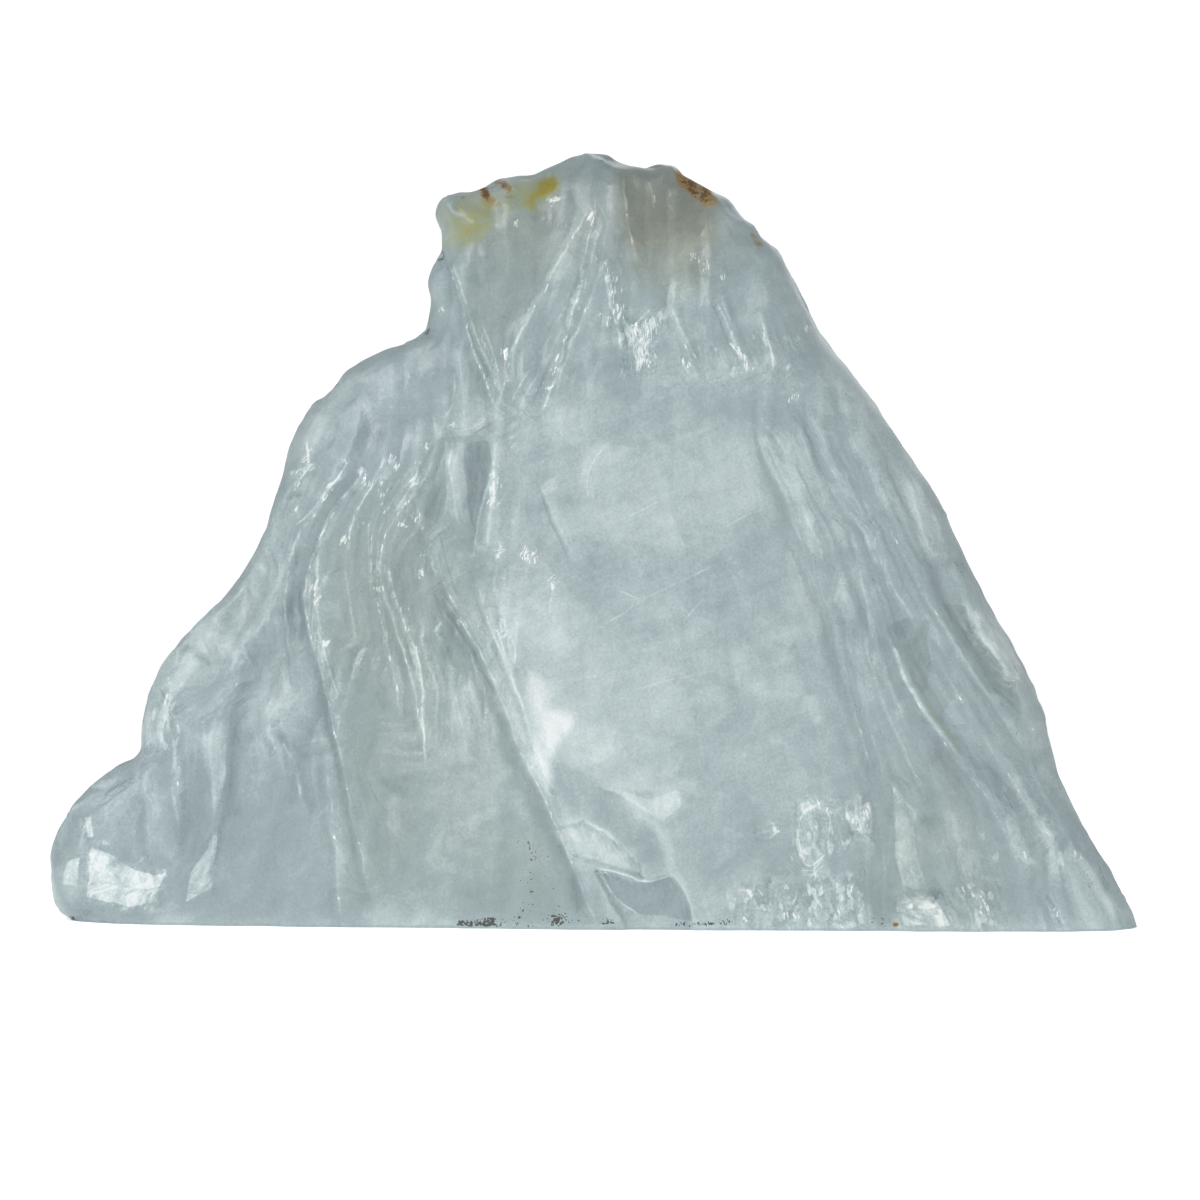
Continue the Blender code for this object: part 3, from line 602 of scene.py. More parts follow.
# Each shattered place is (size of a flat, how far the flats lean, outline).
SHATTERED = {
    "foot": (3.0, 0.1, [(26, -4), (27, 9), (34, 11), (47, 11), (55, 8), (56, -4)]),
    "spall": (2.6, 0.06, [(40, 9), (40, 25), (45, 28), (58, 26), (57, 18), (49, 14), (46, 8)]),
    "toe": (2.6, 0.1, [(60, -4), (60, 8), (71, 8), (83, 10), (84, -4)]),
    "shoulder": (2.6, 0.12, [(-62, 100), (-55, 98), (-56, 85), (-63, 84)]),
    "flank": (2.6, 0.12, [(73, 66), (79, 66), (88, 50), (84, 45), (75, 58)]),
    "lobe": (3.2, 0.08, [(-107, 3), (-107, 12), (-96, 16), (-87, 11), (-86, 2)]),
}
SHATTER_SEED = 11
FLAT_LENGTH = 1.6
FLAT_LEAN_UP = 0.6
SHATTER_BORDER = 1.5
SHATTER_MOST = 0.4


def groove(x, z, depth, half_width, points):
    relief = np.zeros(x.shape)
    at = near(x, z, points, half_width * 3.0)
    away, _, share = along_line(x[at], z[at], smooth_line(points))
    ends = tapered(share, GROOVE_TAPER, foot=GROOVE_BLUNT)
    relief[at] = -depth * ends * np.exp(-((away / half_width) ** 2))
    return relief


def chip(x, z, depth, heading, edge, points):
    """A flat break, whose floor slopes down towards its heading."""
    relief = np.zeros(x.shape)
    at = near(x, z, points, edge)
    inward = inward_of(x[at], z[at], points)
    facing = np.array([math.cos(math.radians(heading)), math.sin(math.radians(heading))])
    reach = np.array(points, float) @ facing
    slope = np.clip((x[at] * facing[0] + z[at] * facing[1] - reach.min()) / np.ptp(reach), 0.0, 1.0)
    floor_depth = depth * (CHIP_SHALLOW + (1.0 - CHIP_SHALLOW) * slope)
    relief[at] = -floor_depth * ease(inward / edge * 0.5 + 0.5)
    return relief


def shatter(x, z, size, lean, points, seed):
    """Many small flats inside an outline, each leaning its own way and drawn out along the fibres."""
    relief = np.zeros(x.shape)
    at = near(x, z, points, 0.0)
    draws = np.random.default_rng(seed)
    corners = np.array(points, float)
    low, span = corners.min(axis=0), np.ptp(corners, axis=0)
    count = int(span.prod() / (size * size * FLAT_LENGTH)) + 2
    best = np.full(at.shape, np.inf)
    rise = np.zeros(at.shape)
    for (cx, cz), (lean_x, lean_z) in zip(low + draws.random((count, 2)) * span,
                                          draws.normal(0.0, lean, (count, 2))):
        dx, dz = x[at] - cx, z[at] - cz
        gap = np.hypot(dx, dz / FLAT_LENGTH)
        nearer = gap < best
        best = np.where(nearer, gap, best)
        rise = np.where(nearer, lean_x * dx + FLAT_LEAN_UP * lean_z * dz, rise)
    rise = np.clip(rise, -SHATTER_MOST, SHATTER_MOST)
    relief[at] = rise * ease(inward_of(x[at], z[at], points) / SHATTER_BORDER)
    return relief


print(len(FRONT_GROOVES), "grooves,", len(FRONT_CHIPS), "chips,", len(SHATTERED), "shattered places")

# %% [markdown]
# ## The way of the fibres
#
# Fibres run with the folds, and away from any fold they fan out with the flanks. Each vertex gets a
# number that stays the same along a fibre, and changes by one for each millimetre across. Near a fold it
# is counted from the fold, and elsewhere from the fan, and the two are blended by nearness. Noise that
# reads this number across and the height along is drawn out along the fibres, wherever they bend.

# %% Follow the fibres
FAN_FOOT = 110.0
FAN_CLOSING = 0.53
FAN_TOP = 100.0
FIBRE_HOLD = 5.0
FAN_HOLD = 14.0
LED_FIRMLY = 14.0
LED_WITHIN = 20.0


def fan_of(x, z):
    """The plain fan: how far along the foot a straight fibre through each point comes down."""
    return x / (FAN_FOOT - FAN_CLOSING * np.minimum(z, FAN_TOP)) * FAN_FOOT


def fibre_of(x, z):
    """The number of the fibre through each point, and how firmly the folds near it lead it, 0 to 1."""
    free = FAN_HOLD**-2.5
    held = np.zeros(x.shape)
    number = fan_of(x, z) * free
    for _, _, _, points in FRONT_FOLDS.values():
        line = smooth_line(points)
        own = float(np.mean(fan_of(line[:, 0], line[:, 1])))
        at = near(x, z, points, LED_WITHIN)
        away, east, share = along_line(x[at], z[at], line)
        hold = tapered(share, 0.1) * ease(1.0 - away / LED_WITHIN) * (away**2 + FIBRE_HOLD**2) ** -1.25
        held[at] += hold
        number[at] += hold * (own + east)
    return number / (free + held), ease(held / (free * LED_FIRMLY))


def drawn_noise(number, z, across, along, seed):
    """Noise drawn out along the fibres, from the number of each point's fibre."""
    return np.array([noise.noise(Vector((u / across, v / along, seed))) for u, v in zip(number, z)])


def fibre_waves(x, z, table):
    """The sum of a table's rounds of noise along the plain fan."""
    fan = fan_of(x, z)
    return sum(height * drawn_noise(fan, z, *size) for height, *size in table)


print("fibres close by", FAN_CLOSING, "a unit up to", FAN_TOP)

# %% [markdown]
# ## The front's relief
#
# The front adds everything up: folds, grooves, chips, shattered places, a few broad swells, two rounds
# of fibre noise, and last the fine pleats. A pleat is the same noise folded at nought, which turns its
# soft waves into narrow valleys between rounded ribs. The clear pane in the middle is calmer.

# %% Add up the front
PANE = [(-16, 104), (-22, 70), (-8, 24), (3, -6), (56, -6), (50, 50), (36, 98), (38, 116), (16, 126),
        (4, 118)]
SHOULDER = [(-64, 84), (-60, 108), (-42, 124), (-26, 122), (-28, 98), (-44, 90)]
PANE_CALM = 0.3
PANE_BORDER = 9.0
FIBRES_AT_CREST = 0.45
FRONT_SWELLS = [(4.6, 12, 50, 40), (2.4, -64, 24, 20), (1.6, 68, 40, 22), (-2.6, -45, 64, 16),
                (-1.8, -12, 122, 14), (1.5, 24, 120, 16), (3.9, -14, 42, 15), (1.8, 0, 14, 14),
                (1.4, 52, 46, 12)]

# Noise along the fibres, and fine pleats: (height, how far apart, how long, seed).
FRONT_FIBRES = [(1.5, 9.0, 46.0, 1.0), (0.4, 3.6, 26.0, 2.0)]
PLEATS = [(0.20, 3.8, 44.0, 21.0), (0.10, 1.9, 30.0, 22.0)]
PANE_PLEATS = 0.25
CREST_PLEATS = 0.6
CREST_BORDER = 20.0


def calm(x, z, on_pane, at_crest):
    """How much fibre is left: little on the clear pane in the middle, and less at the crest."""
    left = np.ones(x.shape)
    for pane in (PANE, SHOULDER):
        away = np.maximum(inward_of(x, z, pane), 0.0)
        left *= 1.0 - (1.0 - on_pane) * ease(away / PANE_BORDER)
    return left * (1.0 - (1.0 - at_crest) * ease((z - FAN_TOP) / CREST_BORDER))


def pleats(x, z):
    """Narrow valleys between rounded ribs, along the fibres."""
    number, held = fibre_of(x, z)
    relief = np.zeros(x.shape)
    for height, across, along, seed in PLEATS:
        relief += height * (np.minimum(np.abs(drawn_noise(number, z, across, along, seed)) * 4.0, 1.0) - 0.6)
    return relief * held * calm(x, z, PANE_PLEATS, CREST_PLEATS)


def front_relief(x, z):
    """How far the front stands out from the smooth body."""
    relief = np.zeros(x.shape)
    for height, reach, side, points in FRONT_FOLDS.values():
        relief += fold(x, z, height * FOLD_SCALE, reach, side, points)
    for one in FRONT_GROOVES.values():
        relief += groove(x, z, *one)
    for one in FRONT_CHIPS.values():
        relief += chip(x, z, *one)
    for number, (size, lean, points) in enumerate(SHATTERED.values()):
        relief += shatter(x, z, size, lean, points, SHATTER_SEED + number)
    for height, cx, cz, radius in FRONT_SWELLS:
        relief += height * np.exp(-((x - cx) ** 2 + (z - cz) ** 2) / radius**2)
    fibres = fibre_waves(x, z, FRONT_FIBRES)
    return relief + fibres * calm(x, z, PANE_CALM, FIBRES_AT_CREST) + pleats(x, z)


print(len(PLEATS), "sizes of pleat")

# %% [markdown]
# ## The back and the rim
#
# The back is one large cleavage face with long straight steps that fan out from above the crest. Their
# places come from noise with fixed seeds, because nothing has to be matched there. The rim shows the
# edges of the layers: each is drawn back a little from the outline, by its own amount.

# %% Steps on the back, layers at the rim
BACK_STEPS = 13
BACK_STEP_HEIGHT = 1.5
BACK_STEP_REACH = 9.0
BACK_TOP = 128.0
BACK_TOP_WANDER = 24.0
BACK_TOP_FALL = 52.0
BACK_FOOT_WANDER = 34.0
BACK_SPREAD = 0.92
BACK_SWAY = 0.05
BACK_SEED = 7.0
BACK_FIBRES = [(1.3, 15.0, 60.0, 11.0), (0.6, 4.0, 40.0, 12.0)]
PLATE = 3.4
PLATE_RETREAT = 3.2
PLATE_BAND = PLATE_RETREAT * 3.0
PLATE_GRAIN = 26.0
FRONT_PLATES = 0.3


def back_relief(x, z):
    """How far the back stands out from the smooth body."""
    relief = fibre_waves(x, z, BACK_FIBRES)
    for number in range(BACK_STEPS):
        place = (number + 0.5) / BACK_STEPS * 2.0 - 1.0
        turn = noise.noise(Vector((number * 1.7, BACK_SEED, 0.0)))
        rise = noise.noise(Vector((number * 2.3, BACK_SEED, 5.0)))
        top = BACK_TOP + BACK_TOP_WANDER * rise - BACK_TOP_FALL * abs(place)
        foot = max(-SAW_OVERRUN, BACK_FOOT_WANDER * noise.noise(Vector((number * 3.1, BACK_SEED, 9.0))))
        points = []
        for share in (0.0, 0.25, 0.5, 0.75, 1.0):
            height = top + (foot - top) * share
            sway = BACK_SWAY * noise.noise(Vector((number * 1.3, share * 2.0, BACK_SEED)))
            points.append(((place * BACK_SPREAD + sway) * (FAN_FOOT - FAN_CLOSING * height), height))
        side = EAST if turn > 0.0 else WEST
        relief += fold(x, z, BACK_STEP_HEIGHT * (0.7 + abs(turn)), BACK_STEP_REACH, side, points)
    return relief


def plate_retreat(y, share, away, run):
    """How far the cleavage plates draw back at the rim: each has its own edge, and the middle one none."""
    deep = y / PLATE
    layer = np.floor(deep)
    shelf = layer + ease((deep - layer - 0.5) / 0.6 + 0.5) - 0.5
    retreat = np.zeros(y.shape)
    for index in np.flatnonzero(away < PLATE_BAND):
        spot = Vector((shelf[index] * 0.9, run[index] / PLATE_GRAIN, 4.0))
        retreat[index] = abs(noise.noise(spot)) * 2.2
    outer = ease(abs(share - 0.5) / 0.3 - 0.2) * np.where(share < 0.5, FRONT_PLATES, 1.0)
    near_rim = np.clip(1.0 - away / PLATE_BAND, 0.0, 1.0)
    return PLATE_RETREAT * np.minimum(retreat, 1.0) * outer * near_rim


print(BACK_STEPS, "steps on the back")

# %% [markdown]
# ## Cleaving the blank
#
# Now the blank's cells are moved. A vertex keeps its place between front and back as a share of the
# depth, so the walls follow both faces without a gap. Further in from the rim, the distance to the
# outline is smoothed, so that no crease runs in from a corner. The front is drawn as the rolled camera
# sees it from a metre away, so a point that stands forward is read a little further out on the drawing,
# counted from the middle of the picture.

# %% Move the cells to the cleaved faces
RELIEF_AT_RIM = 0.3
RELIEF_FADE = 4.0
WALL_ROUGHNESS = 0.35
BROKEN_ROUGHNESS = 1.0
BROKEN_ABOVE = 112.0
BROKEN_FADE = 30.0
ROUGH_GRAIN = 4.5
ROUGH_BAND = 9.0
SHEET_MIDDLE = (1.2, 66.1)


def as_seen(x, y, z):
    """Where the eye sees a point on the drawing, which is rolled a little, as the camera is."""
    eye = EYE / UNIT
    shrink = eye.y / (eye.y - y)
    across, up = (x - eye.x) * shrink, (z - eye.z) * shrink
    cos, sin = math.cos(ROLL), math.sin(ROLL)
    return SHEET_MIDDLE[0] + across * cos - up * sin, SHEET_MIDDLE[1] + across * sin + up * cos


def cleave(mesh):
    """Moves the blank's front and back to the slab's cleaved surfaces, and its walls with them."""
    place, edges = read(mesh.vertices, "co", 3), read(mesh.edges, "vertices", 2, int)
    x, y, z = place.T.copy()
    away, run, inward_x, inward_z = rim_of(x, z)
    inland = away + (settle(away, edges, RIM_ROUNDS) - away) * ease(away / RELIEF_FADE)
    front, back = body_faces(x, z, inland, *rim_lean(run, edges))
    fade = RELIEF_AT_RIM + (1.0 - RELIEF_AT_RIM) * ease(away / RELIEF_FADE)
    share = np.clip(y / BLANK_DEPTH + 0.5, 0.0, 1.0)
    ahead = share < 0.999
    behind = share > 0.001
    seen_x, seen_z = ragged(*as_seen(x[ahead], front[ahead] + SET_BACK, z[ahead]))
    front[ahead] -= front_relief(seen_x, seen_z) * fade[ahead]
    back[behind] += back_relief(x[behind], z[behind]) * fade[behind]
    place[:, 1] = front + (back - front) * share
    drawn_in = plate_retreat(place[:, 1], share, away, run)
    place[:, 0] += inward_x * drawn_in
    place[:, 2] += inward_z * drawn_in
    broken = ease((z - BROKEN_ABOVE) / BROKEN_FADE)
    roughness = WALL_ROUGHNESS + (BROKEN_ROUGHNESS - WALL_ROUGHNESS) * broken
    roughness *= np.clip(1.0 - away / ROUGH_BAND, 0.0, 1.0)
    for index in np.flatnonzero(roughness > 0.0):
        nudge = noise.noise_vector(Vector(place[index]) / ROUGH_GRAIN) * roughness[index]
        place[index] += nudge
    place[:, 1] += SET_BACK
    mesh.vertices.foreach_set("co", (place * UNIT).ravel())
    mesh.update()


cleave(blank)
print("cleaved:", len(blank.vertices), "vertices moved")

# %% [markdown]
# The cells leave small saw teeth on the rim's wall. A few rounds of smoothing take them off there, and
# leave the folds of the front as sharp as they are. Then the slab is sawn: bisect_plane cuts it off at
# the floor, and one flat face closes the cut, as on the real foot.

# %% Soften the rim and saw the foot
WALL_FACING = 0.6
WALL_SOFTENING = 4
SAW_MERGE = UNIT * 0.01
SAW_SNAP = UNIT * 0.02


def soften_rim(form):
    """Smooths the vertices of the rim's wall, and says how many there are."""
    wall = [vert for vert in form.verts if abs(vert.normal.y) < WALL_FACING]
    for _ in range(WALL_SOFTENING):
        bmesh.ops.smooth_vert(form, verts=wall, factor=0.5, use_axis_x=True, use_axis_y=True, use_axis_z=True)
    return len(wall)


def saw_foot(form):
    """Cuts the slab off flat at the foot."""
    cut = bmesh.ops.bisect_plane(
        form,
        geom=[*form.verts, *form.edges, *form.faces],
        dist=SAW_MERGE,
        plane_co=(0.0, 0.0, 0.0),
        plane_no=(0.0, 0.0, 1.0),
        clear_inner=True,
    )
    rim = [item for item in cut["geom_cut"] if isinstance(item, bmesh.types.BMEdge)]
    bmesh.ops.edgeloop_fill(form, edges=rim)
    for vert in form.verts:
        if abs(vert.co.z) < SAW_SNAP:
            vert.co.z = 0.0
    bmesh.ops.triangulate(form, faces=form.faces)
    bmesh.ops.recalc_face_normals(form, faces=form.faces)
    return len(rim)


form = bmesh.new()
form.from_mesh(blank)
softened = soften_rim(form)
sawn = saw_foot(form)
form.to_mesh(blank)
form.free()
print(softened, "wall vertices softened,", sawn, "edges round the saw cut,", len(blank.polygons), "faces")

# %% [markdown]
# The mesh becomes the selenite piece. It stands in for the solid of the frame, and keeps its place in
# its own mesh, so the object sits at the origin.

# %% The selenite piece
SHARP_ANGLE = math.radians(42.0)
slab_mesh = blank
slab_mesh.name = "selenite"
slab_mesh.shade_smooth()
slab_mesh.set_sharp_from_angle(angle=SHARP_ANGLE)
slab = bpy.data.objects.new("selenite", slab_mesh)
scene.collection.objects.link(slab)
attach(slab, "root")
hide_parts("selenite_slab")
triangles = sum(len(face.vertices) - 2 for face in slab_mesh.polygons)
print("triangles:", triangles, "size:", [round(side * 1000, 1) for side in slab.dimensions])

# %% [markdown]
# ## Where the stone is milky
#
# The stone isn't one colour. Milky veils, which are full of tiny gaps between fibres, lie in clearer
# blue-grey stone, and light facets and dark windows show where a flake has come away. These are painted
# on the vertices as one number, the tone: 0 is the stone's middle grey, 1 is a white veil and -1 is the
# clear dark stone. The veils named shade, dim, light or glow are not the stone's own colour but painted
# shade and painted light, which darken or lighten parts of the slab as the lamps and the light shining
# through it would. A picture could hold this too, but a picture needs an unwrapped surface and a file,
# and the drawing's lines and outlines are already there to be read.

# %% Veils: (tone, how soft its edge is, outline)
SHOULDER_PANE = [(-58, 92), (-54, 106), (-40, 116), (-30, 112), (-34, 96), (-46, 90)]
BLUE_BAND = [(-2, 76), (20, 80), (38, 74), (30, 60), (14, 58), (2, 64)]
VEILS = {
    "lobe_inside": (0.08, 4, [(-107, 4), (-107, 16), (-101, 25), (-93, 31), (-88, 20), (-86, 4)]),
    "lobe_heart": (0.5, 1.4, [(-102.2, 15), (-98.6, 14.4), (-96, 9), (-98.5, 6), (-102.4, 6.4)]),
    "lobe_point": (0.3, 1.2, [(-94, 11.2), (-88.4, 11), (-90.4, 5), (-93.8, 4)]),
    "lobe_ledge": (0.3, 1, [(-102, 25.5), (-93.2, 29.8), (-93.6, 28.8), (-101.8, 23.8)]),
    "lobe_bevel": (-0.45, 1, [(-109.6, 12), (-107.5, 19), (-104.7, 23.5), (-101, 27.3), (-100.6, 25),
                              (-103.7, 20), (-105, 16), (-107.6, 11.5)]),
    "shoulder_column": (0.15, 3, oblong(-92, 9, -85, 30)),
    "shoulder_mottle": (0.45, 1.2, [(-91, 37), (-91, 43), (-87, 45), (-86.8, 37)]),
    "shoulder_patch": (0.35, 1.2, [(-86.4, 49.5), (-83, 53.3), (-80.5, 53.7), (-84.7, 46.9), (-86, 46)]),
    "neck_light": (0.25, 3, [(-85, 53), (-80, 59), (-73, 62), (-71, 55), (-76, 52)]),
    "pale_column": (0.4, 1.4, [(-80.5, 38.9), (-75.4, 41.4), (-74, 38.9), (-74.5, 30.8), (-75.4, 23.5),
                               (-77, 24.4), (-77.9, 32), (-80.5, 36.3)]),
    "belly_glow": (0.35, 5, [(-68, 49), (-61, 49), (-60, 42), (-61, 36), (-67, 36), (-69, 42)]),
    "belly_low": (0.15, 5, oblong(-71, 26, -64, 38)),
    "lower_left": (-0.15, 6, [(-92, 2), (-92, 30), (-72, 40), (-56, 36), (-52, 2)]),
    "shoulder_pane": (-0.15, 4, SHOULDER_PANE),
    "shoulder_rim": (0.35, 2, [(-58.5, 99), (-55, 106), (-48, 112), (-50, 108), (-54, 100)]),
    "shoulder_shade": (-0.3, 2.5, [(-52, 98), (-44, 104), (-42.5, 101), (-50, 94.5)]),
    "shoulder_haze": (0.35, 3, [(-61.5, 87), (-60.5, 98), (-55.5, 99), (-56, 87)]),
    "drape_shade": (-0.24, 8, [(-56, 75), (-34, 84), (-24, 66), (-24, 34), (-50, 30)]),
    "drape_green": (-0.25, 4, [(-49, 31), (-37, 31), (-35, 20), (-37, 8), (-47, 8)]),
    "blade_foot": (-0.35, 2, [(-25.7, 87), (-22.3, 87), (-23.4, 68), (-25.6, 68)]),
    "knot_pocket": (0.3, 1.2, [(-29, 99.2), (-26.6, 102.9), (-23.2, 107.7), (-20.9, 106.3), (-20.9, 102.9),
                                (-25.2, 99.6)]),
    "pane": (0.22, 8, [(-12, 66), (12, 72), (42, 66), (48, 44), (50, 6), (4, 4), (-8, 30)]),
    "brightest_veil": (0.75, 1.4, [(-13, 51.3), (-9.8, 49.5), (-8.7, 44.2), (-4.1, 42.7), (-4.5, 39.9),
                                   (-7.7, 36.3), (-9.5, 27), (-12.3, 34.2), (-12, 39.9), (-13.7, 45.6)]),
    "soft_veil": (0.35, 6, [(-15, 60), (0, 62), (10, 50), (18, 28), (10, 22), (0, 30), (-10, 35)]),
    "pane_dark": (-0.22, 3, [(-8.5, 35), (0, 30), (3, 28), (8, 24), (12, 20), (14, 15), (11, 11), (4, 17),
                             (-2, 21.5), (-6, 21), (-9, 26)]),
    "blue_band": (-0.12, 7, BLUE_BAND),
    "pane_notch": (-0.2, 3, [(-3, 72), (-1, 78), (6, 78), (6, 72)]),
    "pane_crown": (0.2, 6, [(-4, 84), (-2, 98), (12, 100), (34, 98), (36, 86), (16, 82)]),
    "dark_triangle": (-0.25, 2, [(2, 106), (5, 116), (10, 112), (9, 106)]),
    "pane_right": (0.08, 7, [(30, 70), (40, 68), (46, 50), (52, 32), (54, 14), (40, 12), (28, 40)]),
    "bank_wedge": (0.3, 1.6, [(34.5, 98.7), (38.9, 100.6), (42.4, 93), (44.3, 82.4), (44.8, 74.8),
                              (41.4, 78.3), (38.4, 85.4), (36, 92.4)]),
    "rim_patch": (0.35, 1.4, [(75.6, 63.5), (77.7, 64.8), (82.5, 60), (85.5, 53.1), (86.4, 49.7),
                              (84.2, 50.1), (80.7, 54.4), (77.3, 58.7)]),
    "right_rim": (0.15, 2, [(87, 36), (88, 47), (91, 42), (91, 36)]),
    "right_columns": (0.3, 1.4, [(82.9, 32.4), (85.5, 31.1), (89.4, 23.8), (88.5, 22.1), (85.9, 25.9)]),
    "toe_pane": (0.25, 1.6, [(93.7, 13), (97.1, 15.5), (100.6, 10.4), (105.8, 2.2), (99.3, 0), (95.4, 5.7)]),
    "toe_shade": (-0.15, 1.6, [(93.5, 28), (97, 21.5), (102.5, 12.8), (108, 4), (109.8, 0), (106.8, 0),
                               (103, 6.5), (99.5, 13), (96, 19), (92.5, 27)]),
    "foot_smudge": (0.25, 2.5, oblong(71, 16.5, 77, 23)),
    "foot_column": (-0.2, 1.6, oblong(66, 5.7, 69.4, 27)),
    "crest_pane": (-0.3, 3, [(-27, 146), (-10, 149), (-9, 134), (-16, 122), (-22, 112), (-26, 122)]),
    "crest_columns": (0.12, 3, [(-12, 120), (-6, 134), (-3, 146), (2, 146), (0, 132), (-4, 120)]),
    "brown_pane": (-0.95, 4, [(5, 155), (16, 154), (23, 150), (21, 141), (7, 140)]),
    "brown_foot": (-0.3, 4, [(7, 140), (15, 141), (16, 136), (13, 128), (8, 134)]),
    "apex_shade": (-0.4, 3, [(-12, 151), (-3, 156), (5, 155), (4, 149), (-4, 146), (-9, 142), (-12, 143)]),
    "rind_shade": (-0.32, 2.5, [(20, 148), (26, 146), (26, 134), (21, 132)]),
    "apex_low": (-0.25, 3, [(-12, 149), (-4, 149), (-3, 140), (-11, 140)]),
    "brown_side": (0.25, 2.5, oblong(16, 119, 22, 130)),
    "knot_right": (-0.22, 3, [(-12, 114), (8, 114), (10, 105), (-12, 106)]),
    "corner_shade": (-0.3, 1.5, [(-31.5, 146), (-27.5, 146), (-27, 140), (-31, 140)]),
    "crest_pale": (0.2, 3, [(-16, 143), (-6, 139), (-4, 132), (-13, 134)]),
    "crest_left": (0.35, 2.5, [(-24, 129), (-19, 129), (-19, 117), (-23, 117)]),
    "notch_shade": (-0.3, 3, oblong(-34, 112, -27, 120)),
    "knot_shade": (-0.3, 2.5, oblong(-24, 108, -16, 113)),
    "bank_light": (0.2, 3, [(22, 117), (34, 115), (34, 109), (22, 110)]),
    "bank_shade": (-0.15, 3, [(21, 107), (41, 107), (42, 100), (21, 102)]),
    "under_knot": (0.2, 2.5, oblong(-11, 99, -3, 105)),
    "shoulder_top": (0.2, 3, [(-60, 96), (-58, 103), (-52, 106), (-52, 98)]),
    "left_edge": (0.25, 3, [(-68, 82), (-60, 84), (-60, 68), (-71, 64)]),
    "outer_shade": (-0.15, 4, [(-61, 66), (-53, 66), (-53, 50), (-62, 50)]),
    "haze_shade": (-0.2, 3, [(-61, 97), (-53, 97), (-54, 90), (-61, 90)]),
    "drape_bank": (0.25, 4, [(-36, 50), (-29, 52), (-22, 58), (-22, 50), (-29, 34), (-37, 34)]),
    "drape_middle": (-0.15, 4, oblong(-45, 42, -38, 58)),
    "drape_foot": (0.2, 4, [(-46, 0), (-46, 9), (-37, 12), (-37, 18), (-29, 18), (-29, 0)]),
    "gully_foot": (-0.2, 4, [(-27, 0), (-27, 8), (-12, 9), (3, 9), (3, 0)]),
    "gully_bank": (0.28, 3, [(-13, 26), (-5, 26), (5, 18), (6, 11), (-8, 11)]),
    "foot_light": (0.35, 3, [(21, 0), (21, 8), (36, 9), (36, 0)]),
    "right_gully": (-0.15, 3, oblong(53, 0, 66, 9)),
    "flank_shade": (-0.22, 4, [(60, 76), (76, 74), (78, 64), (60, 64)]),
    "foot_lights": (0.25, 3, oblong(43, 0, 52, 9)),
    "foot_shade": (-0.22, 4, [(27, 17), (43, 25), (43, 10), (27, 10)]),
    "right_shade": (-0.3, 4, [(43, 43), (52, 42), (52, 27), (43, 27)]),
    "band_light": (0.22, 4, [(52, 34), (59, 32), (60, 12), (52, 12)]),
    "brow_band": (0.2, 4, [(-5, 83), (27, 83), (27, 75), (-5, 74)]),
    "pane_middle": (0.12, 5, oblong(11, 42, 27, 66)),
    "column_shade": (-0.14, 4, [(-45, 94), (-38, 94), (-37, 50), (-45, 44)]),
    "crown_left": (0.16, 3, [(-13, 99), (-5, 99), (-5, 90), (-12, 90)]),
    "lobe_heights": (0.12, 4, [(-108, 14), (-104, 24), (-88, 28), (-86, 16)]),
    "lobe_low": (-0.45, 1.5, [(-108, 0.5), (-107, 4.5), (-98, 3.6), (-91, 3.2), (-88, 0.5)]),
    "neck_low": (0.18, 4, [(-96, 30), (-88, 44), (-82, 44), (-80, 26), (-90, 22)]),
    "slip_haze": (0.25, 1.5, [(70.8, 24), (73, 23), (77, 16), (73.5, 14.5), (70.8, 21)]),
    "brow_shade": (-0.4, 1, [(3.6, 134), (3.8, 140), (6, 140), (6.2, 134)]),
    "right_shoulder": (-0.2, 6, [(20, 118), (20, 137), (32, 137), (44, 122), (46, 112)]),
    "shoulder_cloud": (0.3, 3, oblong(28, 121, 35, 131)),
    "crest_glow": (0.2, 4, [(-8, 104), (-4, 118), (6, 112), (12, 104)]),
    "pane_head": (0.4, 5, [(-20, 67), (-14, 71), (-4, 66), (-6, 56), (-17, 56)]),
    # The broad veils from here on are painted light and painted shade over large parts of the slab.
    "crest_dim": (-0.16, 8, [(-30, 112), (-34, 134), (-34, 156), (34, 156), (42, 134), (2, 112)]),
    "pane_glow": (0.22, 14, [(-14, 66), (-10, 112), (6, 106), (20, 114), (36, 108), (46, 70)]),
    "curtain_glow": (0.25, 9, [(-46, 22), (-44, 60), (-24, 66), (-8, 40), (-4, 22)]),
    "outer_dim": (-0.12, 6, [(-66, 64), (-62, 92), (-46, 90), (-44, 66)]),
    "foot_dim": (-0.14, 6, [(4, 0), (18, 24), (58, 24), (58, 0)]),
    "neck_glow": (0.2, 6, [(-90, 44), (-84, 60), (-68, 68), (-66, 46)]),
    "lobe_glow": (0.26, 5, [(-109, 20), (-104, 28), (-90, 34), (-90, 20)]),
    "right_dim": (-0.26, 7, [(58, 0), (62, 30), (70, 46), (86, 42), (92, 10), (86, 0)]),
}
print(len(VEILS), "veils")

# %% [markdown]
# Facets are patches with a crisp edge. The vertices are over half a millimetre apart, so a crisp edge
# can't be painted on them. Each vertex stores its distance from the nearest facet's edge instead, less
# than nought outside. That number changes evenly between vertices, so the shader can cut it at nought
# and get an edge much finer than the cells.

